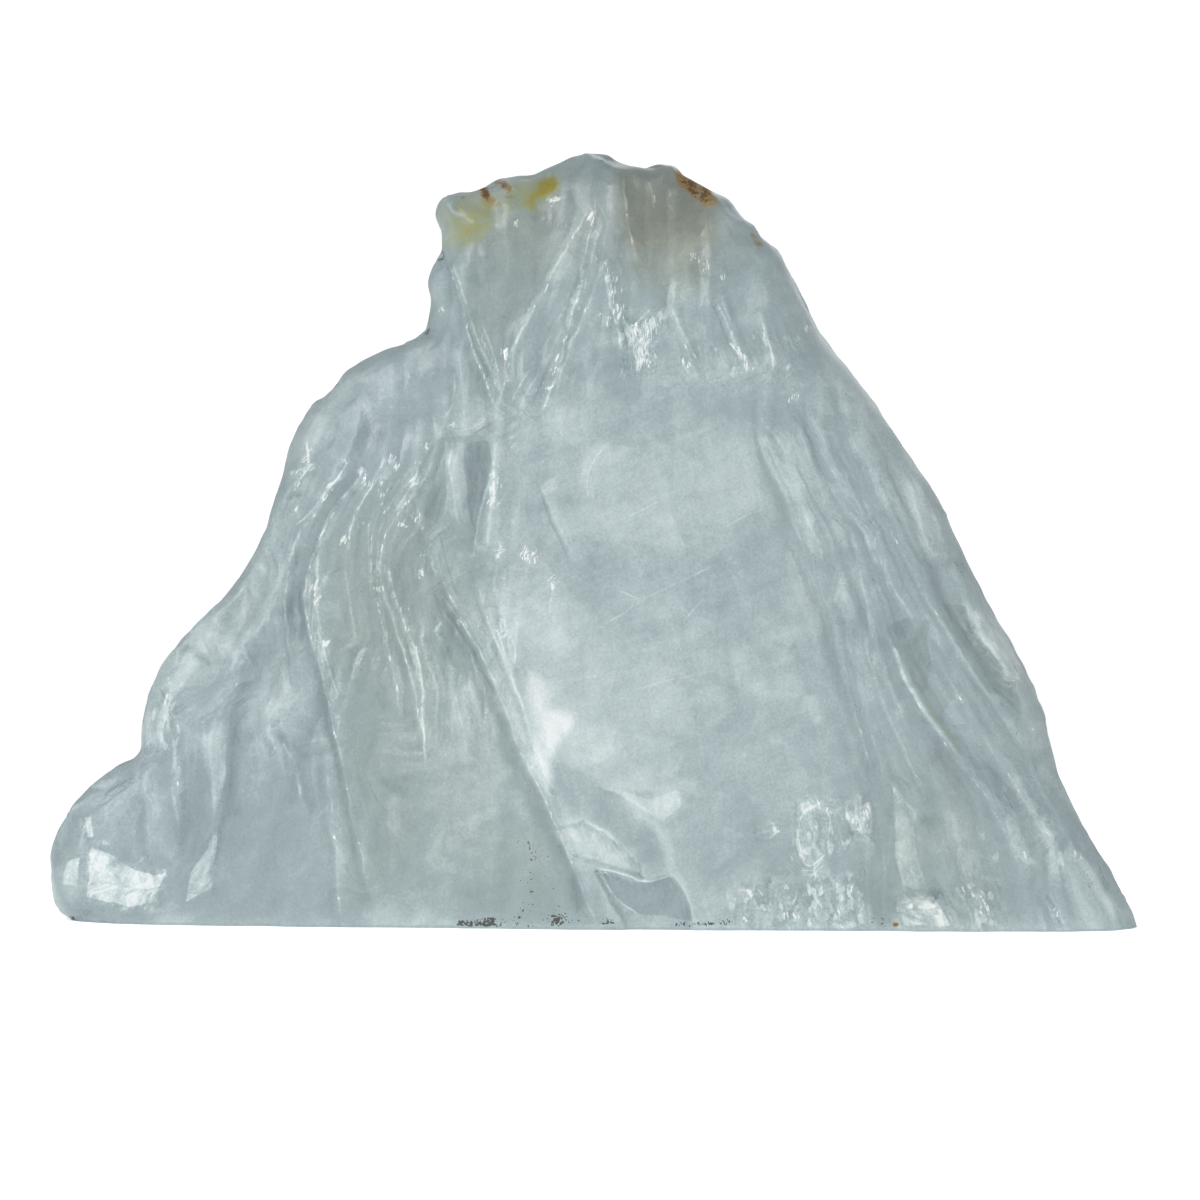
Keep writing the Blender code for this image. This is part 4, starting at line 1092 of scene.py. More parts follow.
# %% Facets: (tone, outline), each with a crisp edge
FACETS = {
    "lobe_facet": (0.95, [(-102, 16), (-98, 15), (-93, 11.2), (-89.4, 10.4), (-86.4, 11.2), (-89, 7.4),
                          (-90.7, 4.8), (-93.2, 3.6), (-97, 4.8), (-103, 5.7), (-102, 10.8)]),
    "lobe_spark": (0.9, [(-108, 8.7), (-106.4, 12.9), (-103.6, 13.8), (-104.7, 7.8)]),
    "pale_facet": (0.95, [(-76.6, 20.1), (-76.2, 17.6), (-77.3, 7.4), (-80, 6.5), (-82.6, 4.8),
                          (-81.3, 11.8), (-78.3, 15.9)]),
    "lens": (0.55, [(-7.3, 19.5), (-1.3, 21.3), (3, 19.2), (8.7, 13.5), (9.8, 11.3), (1.6, 12.7),
                    (-4.5, 14.9)]),
    "window": (-0.6, [(1, 11.5), (7, 10.5), (10, 9), (12.5, 9.5), (15.5, 10.3), (17, 9), (19.5, 4),
                      (19.8, 1.5), (9, 2.5), (4, 6)]),
    "flag": (0.45, [(1.6, 28.5), (5.2, 27.7), (10.9, 25.8), (17.3, 27.7), (17.7, 24.2), (13.7, 21.3),
                    (8, 24.5)]),
    "spall": (0.4, SPALL),
    "shard": (0.7, [(50.6, 22.9), (55.7, 25.1), (56.4, 22.9), (56.2, 19.1), (52.3, 19.9)]),
    "pock": (0.3, [(32.5, 18), (33, 20.5), (36, 21.2), (37.5, 19), (35.5, 17.4)]),
    "window_inner": (-0.45, [(59, 60.9), (62.6, 62.6), (67.8, 62.2), (67.4, 58.3), (68.2, 53.1),
                             (67.4, 47.9), (66.5, 46.6), (63.9, 51), (60, 57.4)]),
    "window_outer": (-0.5, [(70.4, 65.6), (75.1, 64.8), (76.4, 60.5), (80.7, 54.8), (85.5, 49.4),
                            (86.8, 42.1), (84.2, 44.7), (79.9, 49), (76.4, 54.8), (73.9, 58.4)]),
    "blue_chip": (-0.5, [(75.6, 34.6), (77.7, 35), (81.6, 30.6), (85.5, 27.7), (86.4, 23.8), (85, 23.4),
                         (81.6, 25.9), (77.3, 30.6)]),
    "side_facet": (0.45, [(82.9, 23.4), (85.5, 21.6), (88.5, 14.2), (89.8, 12.9), (87.7, 12.5),
                          (85, 13.8), (83.8, 18.6)]),
    "foot_facet": (0.45, [(60.4, 28.9), (62.8, 25.6), (65.3, 22.8), (64.8, 17.3), (66.2, 12.4),
                          (67.8, 7.4), (64.5, 7.6), (62.2, 8.6), (60.8, 13.9), (60.6, 21)]),
    "foot_chip": (0.75, [(62.2, 5.2), (64.8, 6), (68.7, 6.1), (72.1, 0), (62.6, 0)]),
    "foot_slip": (0.4, [(73.8, 16), (77, 15.5), (79, 9.7), (79.4, 3.8), (77.6, 3.6), (74.6, 9.4),
                        (73.4, 13)]),
    # A spray of painted glints at the crest.
    "spark": (0.6, [(5, 124), (8, 121), (12.5, 124), (11, 117), (9, 112), (7.5, 117)]),
    "dark_blade": (-0.6, [(-26.5, 96.4), (-25, 98.2), (-21.4, 98.4), (-20.6, 95.5), (-21.4, 90), (-23.2, 84),
                          (-24.2, 78), (-25, 84), (-26.2, 90)]),
    "green_window": (-0.35, [(-33, 97.6), (-30.4, 99.4), (-29.8, 93.9), (-30, 87.2), (-31.4, 81),
                             (-34.6, 83.6), (-37.4, 86), (-35.6, 92)]),
    "drape_lens": (0.45, [(-49.2, 88.2), (-48.2, 92.4), (-46.4, 92.8), (-46.2, 90.2), (-47.2, 87.8)]),
    "drape_slip": (0.4, [(-43.4, 94), (-41.2, 95.6), (-39.6, 93.4), (-41.6, 90.4), (-43.6, 90.4)]),
    "leaf": (0.5, [(-34.6, 95.4), (-35.6, 90), (-35.4, 88.2), (-36.4, 86.4), (-40.8, 83.4), (-39.8, 85.4),
                   (-37.6, 88.4), (-36.2, 91.8)]),
    "small_leaf": (0.35, [(-37.8, 92.6), (-38.4, 90.4), (-40.6, 87.6), (-41.2, 88.2), (-39.6, 90.6)]),
    "lobe_lens": (1.0, [(-103, 22.4), (-101.6, 22.6), (-101.4, 18.2), (-102.8, 17.8)]),
    # Painted glints, as crisp spots of near white.
    "apex_spark": (2.2, [(-9.3, 146.3), (-9.1, 147.1), (-6.9, 147.6), (-7, 146.8)]),
    "fan_spark": (2.0, [(-2.2, 142), (-1.6, 143.2), (0.3, 145.8), (-0.6, 143.4)]),
    "fan_glint": (2.0, [(-18.5, 114.2), (-18.1, 117), (-17.2, 117.4), (-17.4, 114.8)]),
    "slip": (0.45, [(-56, 61), (-54.6, 57.4), (-52.6, 51), (-51.6, 46.4), (-53.4, 45.6), (-55.2, 50),
                    (-56.2, 55)]),
}
print(len(FACETS), "facets")

# %% [markdown]
# Streaks are soft lines of tone, on the lips of folds and down the gullies. The light ones on the lips
# are painted highlights, and the dark ones down the gullies and beside the lips are painted shade.
# Threads are thin ones: the shader cuts them from a distance as well, so a thread can be finer than a
# cell. The light threads along lips and crests are painted highlights too.

# %% Streaks: (tone, half width, line), and threads, which are the thin ones
STREAKS = {
    # Painted light along the right rim, where the front turns away from the lamps.
    "right_rim_light": (0.24, 3.0, [(38, 134), (44, 122), (53, 108), (62, 94), (70, 80), (77, 66), (86.5, 50),
                               (90, 38), (96, 24), (103, 11)]),
    "lobe_border": (-0.35, 1.6, [(-92.5, 31), (-91.5, 24), (-90.3, 17), (-89.5, 11)]),
    "neck_arc": (-0.4, 0.9, [(-84.7, 55.4), (-81.3, 56.6), (-78.3, 53.3), (-75, 52.9)]),
    "inner_shade": (-0.35, 2.2, [(-66, 58), (-70, 51), (-72.5, 44), (-73.2, 36), (-72.8, 28), (-73.5, 20)]),
    "ledge_shade": (-0.4, 0.9, [(-63.9, 39.3), (-60.3, 36.5), (-57.5, 33.5)]),
    "small_ledge": (0.3, 0.9, [(-63.5, 53), (-61.4, 47.5)]),
    "light_column": (0.35, 1.8, [(-29, 97.7), (-28, 92), (-26.1, 81)]),
    "tongue_light": (0.35, 1.0, [(-52, 85), (-54.6, 78), (-57.6, 71)]),
    "long_shade": (-0.35, 1.0, [(-57, 57), (-53, 41), (-52, 33), (-49, 22), (-47.5, 12), (-45, 2)]),
    "long_light": (0.35, 1.1, [(-54, 25), (-52, 18), (-51, 10)]),
    "veil_strip": (0.2, 1.6, [(-14, 36), (-11.5, 31), (-9.5, 27)]),
    "ribbon": (0.45, 1.1, [(2.6, 28.5), (12, 21.7), (14.6, 17), (16, 10.7), (20, 2)]),
    "pane_streak": (0.35, 1.1, [(43, 47), (46, 41)]),
    # Painted shade down the great gully and the right-hand gully.
    "gully": (-0.35, 2.2, [*GREAT_GULLY, (0, 0)]),
    "right_gully": (-0.3, 1.8, [(33.5, 104.4), (36.5, 90.2), (39.9, 82.4), (43.3, 74), (45.8, 66.3),
                                (48.2, 57.5), (50.7, 47.9), (55, 40)]),
    "right_gully_foot": (-0.25, 2.0, [(55, 40), (57, 26), (58, 12), (58, 0)]),
    "fourth_shade": (-0.4, 0.9, [(47.2, 111.3), (50.2, 101), (54.1, 92.2), (59, 83.4), (61, 78.5)]),
    "fourth_light": (0.3, 1.6, [(48.2, 111.8), (50.7, 103.6), (52.4, 98.8), (55.3, 95.4)]),
    "fourth_lip": (0.35, 1.0, [(56.3, 93.2), (60, 83.9)]),
    "flake_light": (0.4, 1.2, [(62.9, 91.2), (65.8, 83.4), (67, 75.1)]),
    "second_band": (0.35, 1.8, [(50.2, 71.6), (51.6, 61.9)]),
    "second_foot": (0.35, 1.5, [(53.1, 58.9), (55.1, 52.7), (55.6, 44.2)]),
    "third_olive": (-0.2, 0.9, [(66.5, 46.4), (69.5, 41.9), (73, 37), (74.7, 34.5)]),
    "side_crest": (0.5, 0.9, [(90.2, 22.9), (92.8, 15), (93.7, 9)]),
    "toe_crest": (0.6, 0.9, [(97.6, 15.1), (100.2, 11.4), (102.8, 7.1), (106.2, 2.2)]),
    "curtain_light": (0.3, 1.4, [(-26, 48), (-26, 40), (-26, 33)]),
    "curtain_shade": (-0.25, 1.4, [(-31, 60), (-30, 48), (-30, 36)]),
    "foot_light": (0.3, 1.2, [(-40, 28), (-41, 18), (-40, 9)]),
}
THREADS = {
    "shoulder_ray": (1.5, 0.4, [(-58.1, 98.4), (-57.9, 95.5), (-57.5, 93.2)]),
    "shoulder_arm": (1.4, 0.4, [(-61.2, 92), (-59, 92.4), (-56.8, 93.8)]),
    "shoulder_leg": (1.3, 0.4, [(-61, 88.8), (-59.6, 90.6), (-57.4, 93)]),
    "spall_loop": (0.9, 0.3, [(47, 23.5), (44.6, 24.6), (42, 22.4), (41.2, 19), (42, 15.6), (42.6, 12.2),
                              (45, 12.6), (47.2, 15.4)]),
    "spall_hook": (0.8, 0.3, [(43, 10.4), (45, 11.2), (46.4, 12.6)]),
    "ledge_upper": (-0.6, 0.35, [(-102.1, 25.7), (-93.2, 30)]),
    "ledge_lower": (-0.5, 0.3, [(-101.8, 23.6), (-94, 28.6)]),
    "shoulder_line": (0.4, 0.6, [(-86.2, 45.6), (-86.4, 40.5), (-84.7, 36.3), (-85.6, 29.9), (-84.3, 23.5),
                                 (-83.4, 19.3)]),
    "shoulder_crack": (-0.8, 0.25, [(-87.9, 48.4), (-86, 45)]),
    "belly_ledge": (0.55, 0.5, [(-63, 37.5), (-60.7, 34), (-59.6, 30), (-59.4, 26)]),
    "tongue_crack": (-0.6, 0.25, [(-54.5, 71), (-50.5, 72.7)]),
    "loop_left": (0.35, 0.3, [(-9, 62), (-8.5, 68), (-6, 72), (-4, 70)]),
    "arc_high": (0.35, 0.3, [(-1, 86), (-1.5, 91), (0, 95), (2, 97)]),
    "scratch_first": (0.35, 0.25, [(7, 83), (13, 86)]),
    "scratch_second": (0.35, 0.25, [(27, 81.5), (34, 84.5)]),
    "scratch_third": (0.35, 0.3, [(-8, 49.5), (1, 51)]),
    "scratch_long": (0.3, 0.3, [(8, 48), (25, 52)]),
    "scratch_rise": (0.3, 0.3, [(0, 60), (13, 68), (29, 75)]),
    "fleck_left": (0.4, 0.3, [(5, 68), (10, 65.5)]),
    "fleck_right": (0.4, 0.3, [(18, 62), (22, 66)]),
    "window_top": (0.9, 0.3, [(1, 11.6), (7, 10.6), (10, 9.1), (12.5, 9.6), (15.5, 10.4)]),
    "window_side": (0.6, 0.3, [(1, 11.5), (4, 6), (9, 2.5)]),
    "pock_edge": (0.8, 0.3, [(36, 21), (37.5, 19), (35.5, 17.4)]),
    "second_crest": (0.45, 0.6, [(52.1, 83.9), (55.6, 77.5), (57.5, 72.6)]),
    "fourth_crest": (0.5, 0.6, [(54.6, 86.8), (59, 75.1), (58.5, 71.6), (60, 67.7)]),
    "third_crest": (0.6, 0.7, [(59, 59.7), (61.3, 54), (63.9, 48.8), (67.8, 41.9), (72.6, 35.9),
                               (75.6, 33.3)]),
    "split_line": (-0.7, 0.3, [(91.1, 6.5), (92.8, 3.9), (94.6, 0)]),
    "split_left": (0.5, 0.3, [(90.3, 6.3), (92, 3.7), (93.7, 0)]),
    "split_right": (0.5, 0.3, [(91.9, 6.7), (93.6, 4.1), (95.5, 0)]),
    "outer_lip": (0.7, 0.35, [(-50, 94), (-52, 90.5), (-54.4, 87.4), (-58, 83.6), (-61, 80.6)]),
    "outer_dark": (-0.3, 0.5, [(-61.8, 64), (-62.6, 60), (-62, 54), (-61, 48)]),
    "column_edge": (0.4, 0.4, [(-58.2, 72.3), (-58.9, 67.8), (-58.2, 61.7), (-57, 56.4), (-55.9, 52.6)]),
    "tongue_edge": (0.55, 0.4, [(-46.9, 93.4), (-47.6, 90.4), (-51.4, 86.6), (-54, 82.9), (-55.2, 78.3),
                                (-56.3, 72.3), (-55.9, 67.8), (-55.5, 63.2)]),
    "slip_edge": (0.6, 0.35, [(-55.9, 61.7), (-55.2, 57.2), (-53.3, 51.1), (-51.4, 46.6)]),
    "third_edge": (0.45, 0.35, [(-43.5, 91.2), (-46.1, 87.4), (-48.7, 83.6), (-49.7, 78.3), (-49.5, 73.8)]),
    "second_edge": (0.4, 0.35, [(-45.6, 81.3), (-45.8, 75.3), (-45, 69.3), (-44.2, 64.7)]),
    "inner_lip": (0.7, 0.35, [(-32.5, 98.7), (-35.1, 94.2), (-37, 88.9), (-40.4, 83.6)]),
    "long_edge": (0.45, 0.35, [(-36.3, 94.2), (-39.3, 88.9), (-41.6, 84.4), (-43.5, 79.8), (-44, 75.3),
                               (-43.5, 67.7), (-42.3, 60.2), (-41.2, 54.9)]),
    "drape_lip": (0.75, 0.4, [(-41.8, 75.3), (-41, 69.3), (-39.3, 64), (-37, 57.9), (-35.5, 54.2),
                              (-34.6, 44), (-34.4, 32)]),
    "drape_dark": (-0.4, 0.5, [(-42.6, 72), (-40.4, 63.6), (-38, 57), (-36.2, 50)]),
    "window_edge": (0.45, 0.4, [(-28, 98.7), (-29.3, 95.7), (-28.5, 87.4), (-27.4, 81.3)]),
    "window_dark": (-0.35, 0.4, [(-31.4, 79.8), (-29.5, 72.3), (-27.2, 66.2)]),
    "blade_crest": (1.1, 0.5, [(-20.3, 95), (-20.2, 91), (-20, 88), (-20.6, 85)]),
    "blade_edge": (0.45, 0.35, [(-21, 90.4), (-22.9, 84.4), (-24, 78.3), (-24.4, 73.8)]),
    "knot_line": (-0.6, 0.3, [(-31, 98.6), (-25.5, 98.9), (-22, 101.4), (-19, 102.6)]),
    "knot_second": (0.5, 0.3, [(-28.4, 100.2), (-24.6, 101), (-21.4, 103.2)]),
    "knot_rise": (0.4, 0.35, [(-28.3, 112.3), (-28.7, 105.5), (-30.2, 102.9)]),
    "gully_lip": (0.55, 0.35, [(-32.1, 69.3), (-28.7, 64), (-26.1, 60.2), (-22.7, 54.9), (-18.9, 47.4)]),
    "gully_shade": (-0.4, 0.4, [(-33, 68.6), (-29.6, 63.2), (-27, 59.2), (-23.6, 53.9), (-19.8, 46.4)]),
    "bank_lip": (0.4, 0.4, [(-23.4, 69.3), (-22.3, 64.7), (-20.4, 58.7), (-17.4, 52.7), (-15.1, 46.6),
                            (-11.5, 33)]),
    "spur": (0.7, 0.4, [(-19, 78), (-19.6, 75.6), (-20.3, 74)]),
    "brow_line": (-0.3, 0.4, [(-12, 91), (-9.6, 84), (-7, 78), (-4.4, 74)]),
    "fan_gully": (-0.5, 0.5, [(-29.7, 134.8), (-27.4, 127.3), (-24.8, 119), (-21.8, 112.2), (-19.5, 107.7)]),
    "fan_ledge": (0.5, 0.4, [(-28.5, 134.8), (-26.2, 127.3), (-23.6, 119), (-20.8, 112.2), (-18.8, 107.7)]),
    "fan_first": (0.5, 0.4, [(-22.5, 122), (-20.6, 116.7), (-19.1, 110.7)]),
    "fan_second": (0.5, 0.4, [(0.5, 149.9), (0.1, 143.9), (-1.8, 136.4), (-3.3, 128.8), (-7.4, 122.8),
                              (-10.4, 116.7), (-14.2, 110.7), (-17.6, 104)]),
    "fan_third": (0.7, 0.35, [(-1.4, 134), (-4, 126.5), (-5.2, 121.3), (-7, 114.5), (-9.7, 105.4)]),
    "fan_fourth": (-0.4, 0.45, [(-2.6, 134), (-5.2, 126.5), (-6.6, 121), (-9.4, 113), (-12.6, 104.6)]),
    "fan_fifth": (0.35, 0.35, [(-8.2, 134), (-12, 126.5), (-15.7, 119), (-18.8, 112.2)]),
    "blade_line": (0.9, 0.45, [(2.4, 132.6), (3.1, 126.5), (5, 120.5), (5.4, 116.7)]),
    "blade_shade": (-0.5, 0.4, [(3.6, 133), (4.4, 126.5), (6.2, 120.5), (6.8, 116)]),
    "spine_line": (0.5, 0.35, [(6.1, 152.2), (6.5, 143.9), (7.6, 139.4), (8.4, 135.6)]),
    "apex_line": (0.55, 0.3, [(11, 151), (11.6, 148), (12.2, 144.7)]),
    "nick_first": (0.6, 0.4, [(16, 125), (17.8, 120.8), (19.7, 116.7), (20.9, 113.7)]),
    "nick_second": (0.65, 0.4, [(24.3, 127.3), (28, 119.7), (31, 112.2)]),
    "nick_third": (0.6, 0.4, [(34.1, 122), (35.6, 116.7), (36.4, 112)]),
    "nick_shade": (-0.4, 0.4, [(23.2, 127), (26.8, 119.7), (29.6, 112.2)]),
}
print(len(STREAKS), "streaks and", len(THREADS), "threads")

# %% [markdown]
# Glints are painted highlights, where small breaks would catch the light. A cluster is a patch, where the
# shader breaks the stone up into flats of painted light and shade. A single glint is a spot of a
# millimetre or so, where it paints a few sparks. The tint tells greenish stone, above nought, from bluish
# stone, below it. Ochre, rust and grime are the dirt of the ground that the slab lay in, and cling to the
# crest, the gullies and the foot.

# %% Glints, tints and stains
# Patches of painted glints: (how strong, how soft the edge is, outline).
GLINTS = {
    "foot": (0.9, 2, [(28, 0), (28, 8), (33, 9), (40, 8), (46, 11), (54, 10.5), (55, 0)]),
    "toe": (0.7, 2, [(60, 0), (61, 6), (72, 7), (76, 12), (82, 10), (84, 0)]),
    "side": (0.3, 3, [(78, 14), (80, 30), (90, 30), (96, 12)]),
    "crest": (0.9, 2, [(6, 112), (6, 125), (13, 125), (12, 112)]),
    "nicks": (0.4, 2, [(17, 110), (17, 117), (44, 122), (40, 110)]),
    "rim": (0.5, 2, [(75, 60), (79, 65), (87, 52), (84, 48)]),
    "spall": (0.6, 2, [(40, 10), (40, 26), (57, 26), (57, 18), (48, 14)]),
    "lobe": (0.6, 2, [(-104, 3), (-104, 22), (-98, 16), (-86, 12), (-88, 3)]),
    "shoulder": (0.5, 2, [(-92, 34), (-90, 44), (-84, 54), (-82, 44), (-86, 34)]),
}

# Single painted glints, strung along lines or alone: (radius, their places).
GLITTER = {
    "apex": (0.8, [(-0.7, 144.7), (-1, 142.9), (-8.6, 146.9), (-7.8, 147), (12, 146.5), (-15.8, 142.4),
                   (1.6, 134.1)]),
    "blade": (0.9, [(3.9, 131), (4.2, 128.5), (4.6, 126), (5, 123.5), (1.5, 123.2), (2.4, 122.6)]),
    "spray": (1.2, [(8.5, 121), (10, 118.4), (11.6, 121.6), (9.4, 116.4), (10.8, 114.8)]),
    "nicks": (0.9, [(28.8, 117.5), (30, 115.6), (31, 113.3), (34.8, 119.7), (18.6, 113.7), (20.6, 135.2),
                    (23, 133.5), (25.4, 131.8), (43, 121), (40.1, 107.3)]),
    "fan": (0.6, [(-18, 116), (-6, 118.3), (-7.2, 115.4), (-8.2, 112.6), (-9, 109), (-9.8, 105.5),
                  (-31.2, 125), (-28.4, 101.4)]),
    "shoulder": (0.7, [(-58, 94.6), (-57.2, 93.2), (-60.6, 91.8), (-60.6, 89.2), (-60, 84)]),
    "outer_lip": (0.6, [(-50.2, 94.2), (-51.8, 91.4), (-53.2, 89), (-54.6, 87), (-57, 84)]),
    "lens": (0.7, [(-47.5, 92), (-47, 89.6), (-43.1, 89.7), (-43.2, 87.4), (-41, 95), (-40.2, 93)]),
    "inner_lip": (0.6, [(-34, 97.2), (-35.1, 94), (-36.4, 90.4), (-37.8, 86.4), (-42, 84.5), (-39, 81.4),
                        (-38, 81.6)]),
    "drape": (0.7, [(-46, 81), (-50.5, 78), (-35.9, 82.6), (-34.4, 75), (-35.1, 71.5), (-43, 68.3),
                    (-57, 68.5), (-56, 66), (-54.2, 57.6), (-51.3, 48.9), (-38.5, 64.4), (-37.4, 60.2),
                    (-36.3, 56), (-27.4, 61.6)]),
    "crest_of_blade": (0.9, [(-20.4, 91.2), (-20.1, 89), (-20.2, 86)]),
    "knee": (1.1, [(-13.8, 75.3), (-12.4, 74), (-19.3, 76.2), (-8.4, 69)]),
    "foot": (0.8, [(39, 8.6), (52, 7.6), (30, 1.6), (38, 2.2), (41, 1.4), (50, 3), (53.6, 4.4)]),
    "spall": (0.7, [(45.7, 24.6), (47.4, 23.4), (54.7, 23), (52.6, 22), (36.6, 19.4), (42.6, 14.4)]),
    "toe": (0.7, [(64, 4), (66.6, 2.6), (69.6, 2.4), (77, 9), (78, 6), (79, 3.4), (87, 14.5), (93.4, 3)]),
    "lobe": (0.8, [(-102, 20), (-102, 14), (-106.6, 10), (-99, 12), (-93, 10), (-90, 9)]),
    "rim": (0.7, [(77.6, 63), (80.4, 59.4), (83.4, 54.6), (85.6, 50.6), (88.5, 40), (97.6, 14.5)]),
}
TINTS = {
    "drape": (0.6, 8, [(-56, 78), (-32, 90), (-22, 60), (-10, 26), (-2, 2), (-50, 2)]),
    "window_inner": (0.5, 1, [(59, 60.9), (62.6, 62.6), (67.8, 62.2), (68.2, 53.1), (66.5, 46.6),
                              (60, 57.4)]),
    "window_outer": (0.5, 1, [(70.4, 65.6), (75.1, 64.8), (85.5, 49.4), (86.8, 42.1), (79.9, 49),
                              (73.9, 58.4)]),
    "crest_pane": (0.8, 4, [(-28, 146), (-8, 150), (-8, 134), (-16, 120), (-24, 112), (-27, 124)]),
    "brown_pane": (0.9, 3, [(7, 150), (15, 151), (24, 142), (23, 130), (14, 126), (8, 134)]),
    "right_foot": (0.5, 6, [(56, 0), (58, 40), (74, 36), (84, 0)]),
    "shoulder_pane": (-0.5, 4, SHOULDER_PANE),
    "lower_left": (-0.5, 6, [(-106, 2), (-104, 24), (-88, 46), (-70, 60), (-58, 40), (-54, 2)]),
    "window": (-0.6, 1, [(1, 11.5), (7, 10.5), (15.5, 10.3), (19.8, 1.5), (9, 2.5), (4, 6)]),
    "blue_chip": (-0.6, 1, [(75.6, 34.6), (77.7, 35), (86.4, 23.8), (85, 23.4), (77.3, 30.6)]),
    "blue_band": (-0.4, 6, BLUE_BAND),
    "right_flank": (-0.3, 5, [(50, 106), (70, 78), (76, 66), (60, 70), (44, 90)]),
}
WARMTH = {
    "brown_pane": (0.9, 4, [(5, 154), (16, 154), (25, 149), (23, 140), (7, 139)]),
    "brown_foot": (0.3, 6, [(6, 142), (24, 142), (22, 130), (8, 132)]),
    "crest": (0.3, 6, [(-32, 140), (-30, 150), (0, 156), (20, 152), (34, 138), (20, 132), (-10, 134)]),
}
OCHRE = {
    "wash": (0.6, 3, [(-31.5, 147), (-26, 148.5), (-20, 150.5), (-12, 152.5), (-7, 152.5), (-8, 148),
                      (-11, 144.5), (-16, 145), (-21, 142), (-23, 138), (-28, 136.5), (-31, 138)]),
    "bright": (0.9, 1.6, [(-14.6, 146), (-13.6, 148), (-11.4, 149.4), (-10.8, 151.6), (-8, 151.8),
                          (-7.6, 149.8), (-9.4, 148), (-11.6, 147), (-12.4, 145)]),
    "core": (0.8, 1.2, [(-10.8, 148), (-10.6, 150.6), (-8.2, 151.2), (-8.2, 149)]),
    "low": (0.4, 2, [(-28, 146), (-20.5, 146), (-20, 141), (-25, 138), (-28, 139)]),
    "third_fold": (0.5, 0.9, [(66, 46), (67, 47), (75, 35), (74, 34)]),
}
RUST = {
    "rind": (1.1, 1.2, [(16.2, 153.2), (19, 152.6), (23.6, 149), (22, 146.4), (19.5, 147.6), (17, 150.2)]),
    "rind_edge": (0.6, 1.2, [(22.5, 149.8), (26.4, 147.4), (25.5, 145), (22.5, 146.5)]),
    "rind_low": (0.5, 2, [(20, 148), (24.5, 147), (24, 143), (21.5, 143)]),
    "flank": (0.8, 1, [(32, 141), (34.5, 138), (33.5, 136), (32, 138)]),
    "left_spot": (1.9, 0.8, [(-22.8, 149.2), (-21.2, 149.2), (-21.2, 147.6), (-22.4, 147.6)]),
    "corner_spot": (1.2, 0.6, oblong(-27, 146.6, -26.2, 147.6)),
    "crest_spot": (0.95, 0.8, [(-20.4, 150.8), (-17.6, 150.8), (-17, 149.2), (-18.4, 148.8)]),
    "corner_wash": (0.5, 1.6, [(-24, 148), (-17, 149.6), (-14, 147.4), (-20, 144.6), (-24, 145.6)]),
    "gold_spot": (0.7, 0.8, [(-10, 150.6), (-9, 150.8), (-8.8, 149.6), (-9.8, 149.4)]),
    "foot_spot": (1.2, 0.5, oblong(60.2, 0.1, 61.6, 1.2)),
}
GRIME = {
    "gully": (0.72, 3, [(-22, 60), (-19, 61), (-13, 34), (-2, 10), (0, 0), (-20, 0), (-16, 30)]),
    "gully_low": (0.25, 4, [(-24, 20), (-14, 22), (-4, 4), (-4, 0), (-26, 0)]),
    "foot_left": (1.2, 0.7, [(-28, 0.2), (-28, 1), (-19, 1.9), (-11, 1.3), (-10, 0.2)]),
    "foot_left_end": (1.3, 0.6, [(-19, 0.3), (-19, 1.8), (-12, 1.5), (-11.5, 0.3)]),
    "foot_middle": (1.1, 0.7, [(-8, 0.2), (-8, 1.8), (-3, 1.6), (-3, 0.2)]),
    "foot_dot": (1.2, 0.7, [(1.4, 0.2), (1.4, 1.5), (4, 1.4), (4, 0.2)]),
    "foot_right": (1.1, 0.7, [(16, 0), (16, 1.2), (20, 1.2), (22, 1), (28, 1.7), (28, 0)]),
    "foot_base": (0.5, 1, oblong(-50, 0, 60, 2)),
    "right_gully": (0.75, 2, oblong(56, 0, 61.5, 7)),
    "right_dots": (1.0, 0.6, oblong(56.6, 0.2, 58.8, 2)),
    "pane": (0.62, 5, [(18, 104), (18, 90), (22, 80), (32, 78), (34, 98), (26, 106)]),
    "flank": (0.3, 4, [(52, 50), (64, 70), (74, 50), (60, 20)]),
}
print(len(GLINTS), "glints,", len(TINTS), "tints,", len(OCHRE) + len(RUST) + len(GRIME), "stains")

# %% [markdown]
# The painting reads each table and adds its marks up. The veils go right through the stone, so the back
# gets a share of the front's tones, with its own clouds on top in the shader. Facets, threads and
# glints belong to the front's surface alone.

# %% Paint the vertices
BACK_SHARE = 0.4
NO_MARK = -4.0
THREAD_REACH = 3.0
FIBRES_LEFT = (0.2, 0.6)
RIM_BAND = 4.0
RIM_SHADE = 0.1
LIP_HEIGHT = 2.0
LIP_FADE = 3.4
# How strong the painted highlight and painted shadow of the fold lips are, table by table.
LIP_SHADING = [(CREST_FOLDS, 0.7), (DRAPE_FOLDS, 0.7), (LEFT_FOLDS, 0.25), (PANE_FOLDS, 0.5), (RIGHT_FOLDS, 0.35)]
# A thin painted shadow along the foot, where the slab meets the floor: how dark, and how high it reaches.
FOOT_SHADOW = 0.7
FOOT_SHADOW_HEIGHT = 0.7
GRIME_MOST = 1.3
THREAD_FADE = 1.7
STREAK_ENDS = (0.2, 0.15, 0.15)
THREAD_ENDS = (0.12, 0.1, 0.1)
FINE_ROUNDS, FINE_PROUD = 4, 0.16
BROAD_ROUNDS, BROAD_PROUD = 30, 0.8


def patches(x, z, table):
    """The sum of the soft patches in a table."""
    total = np.zeros(x.shape)
    for amount, soft, points in table.values():
        at = near(x, z, points, soft)
        total[at] += amount * ease(inward_of(x[at], z[at], points) / soft * 0.5 + 0.5)
    return total


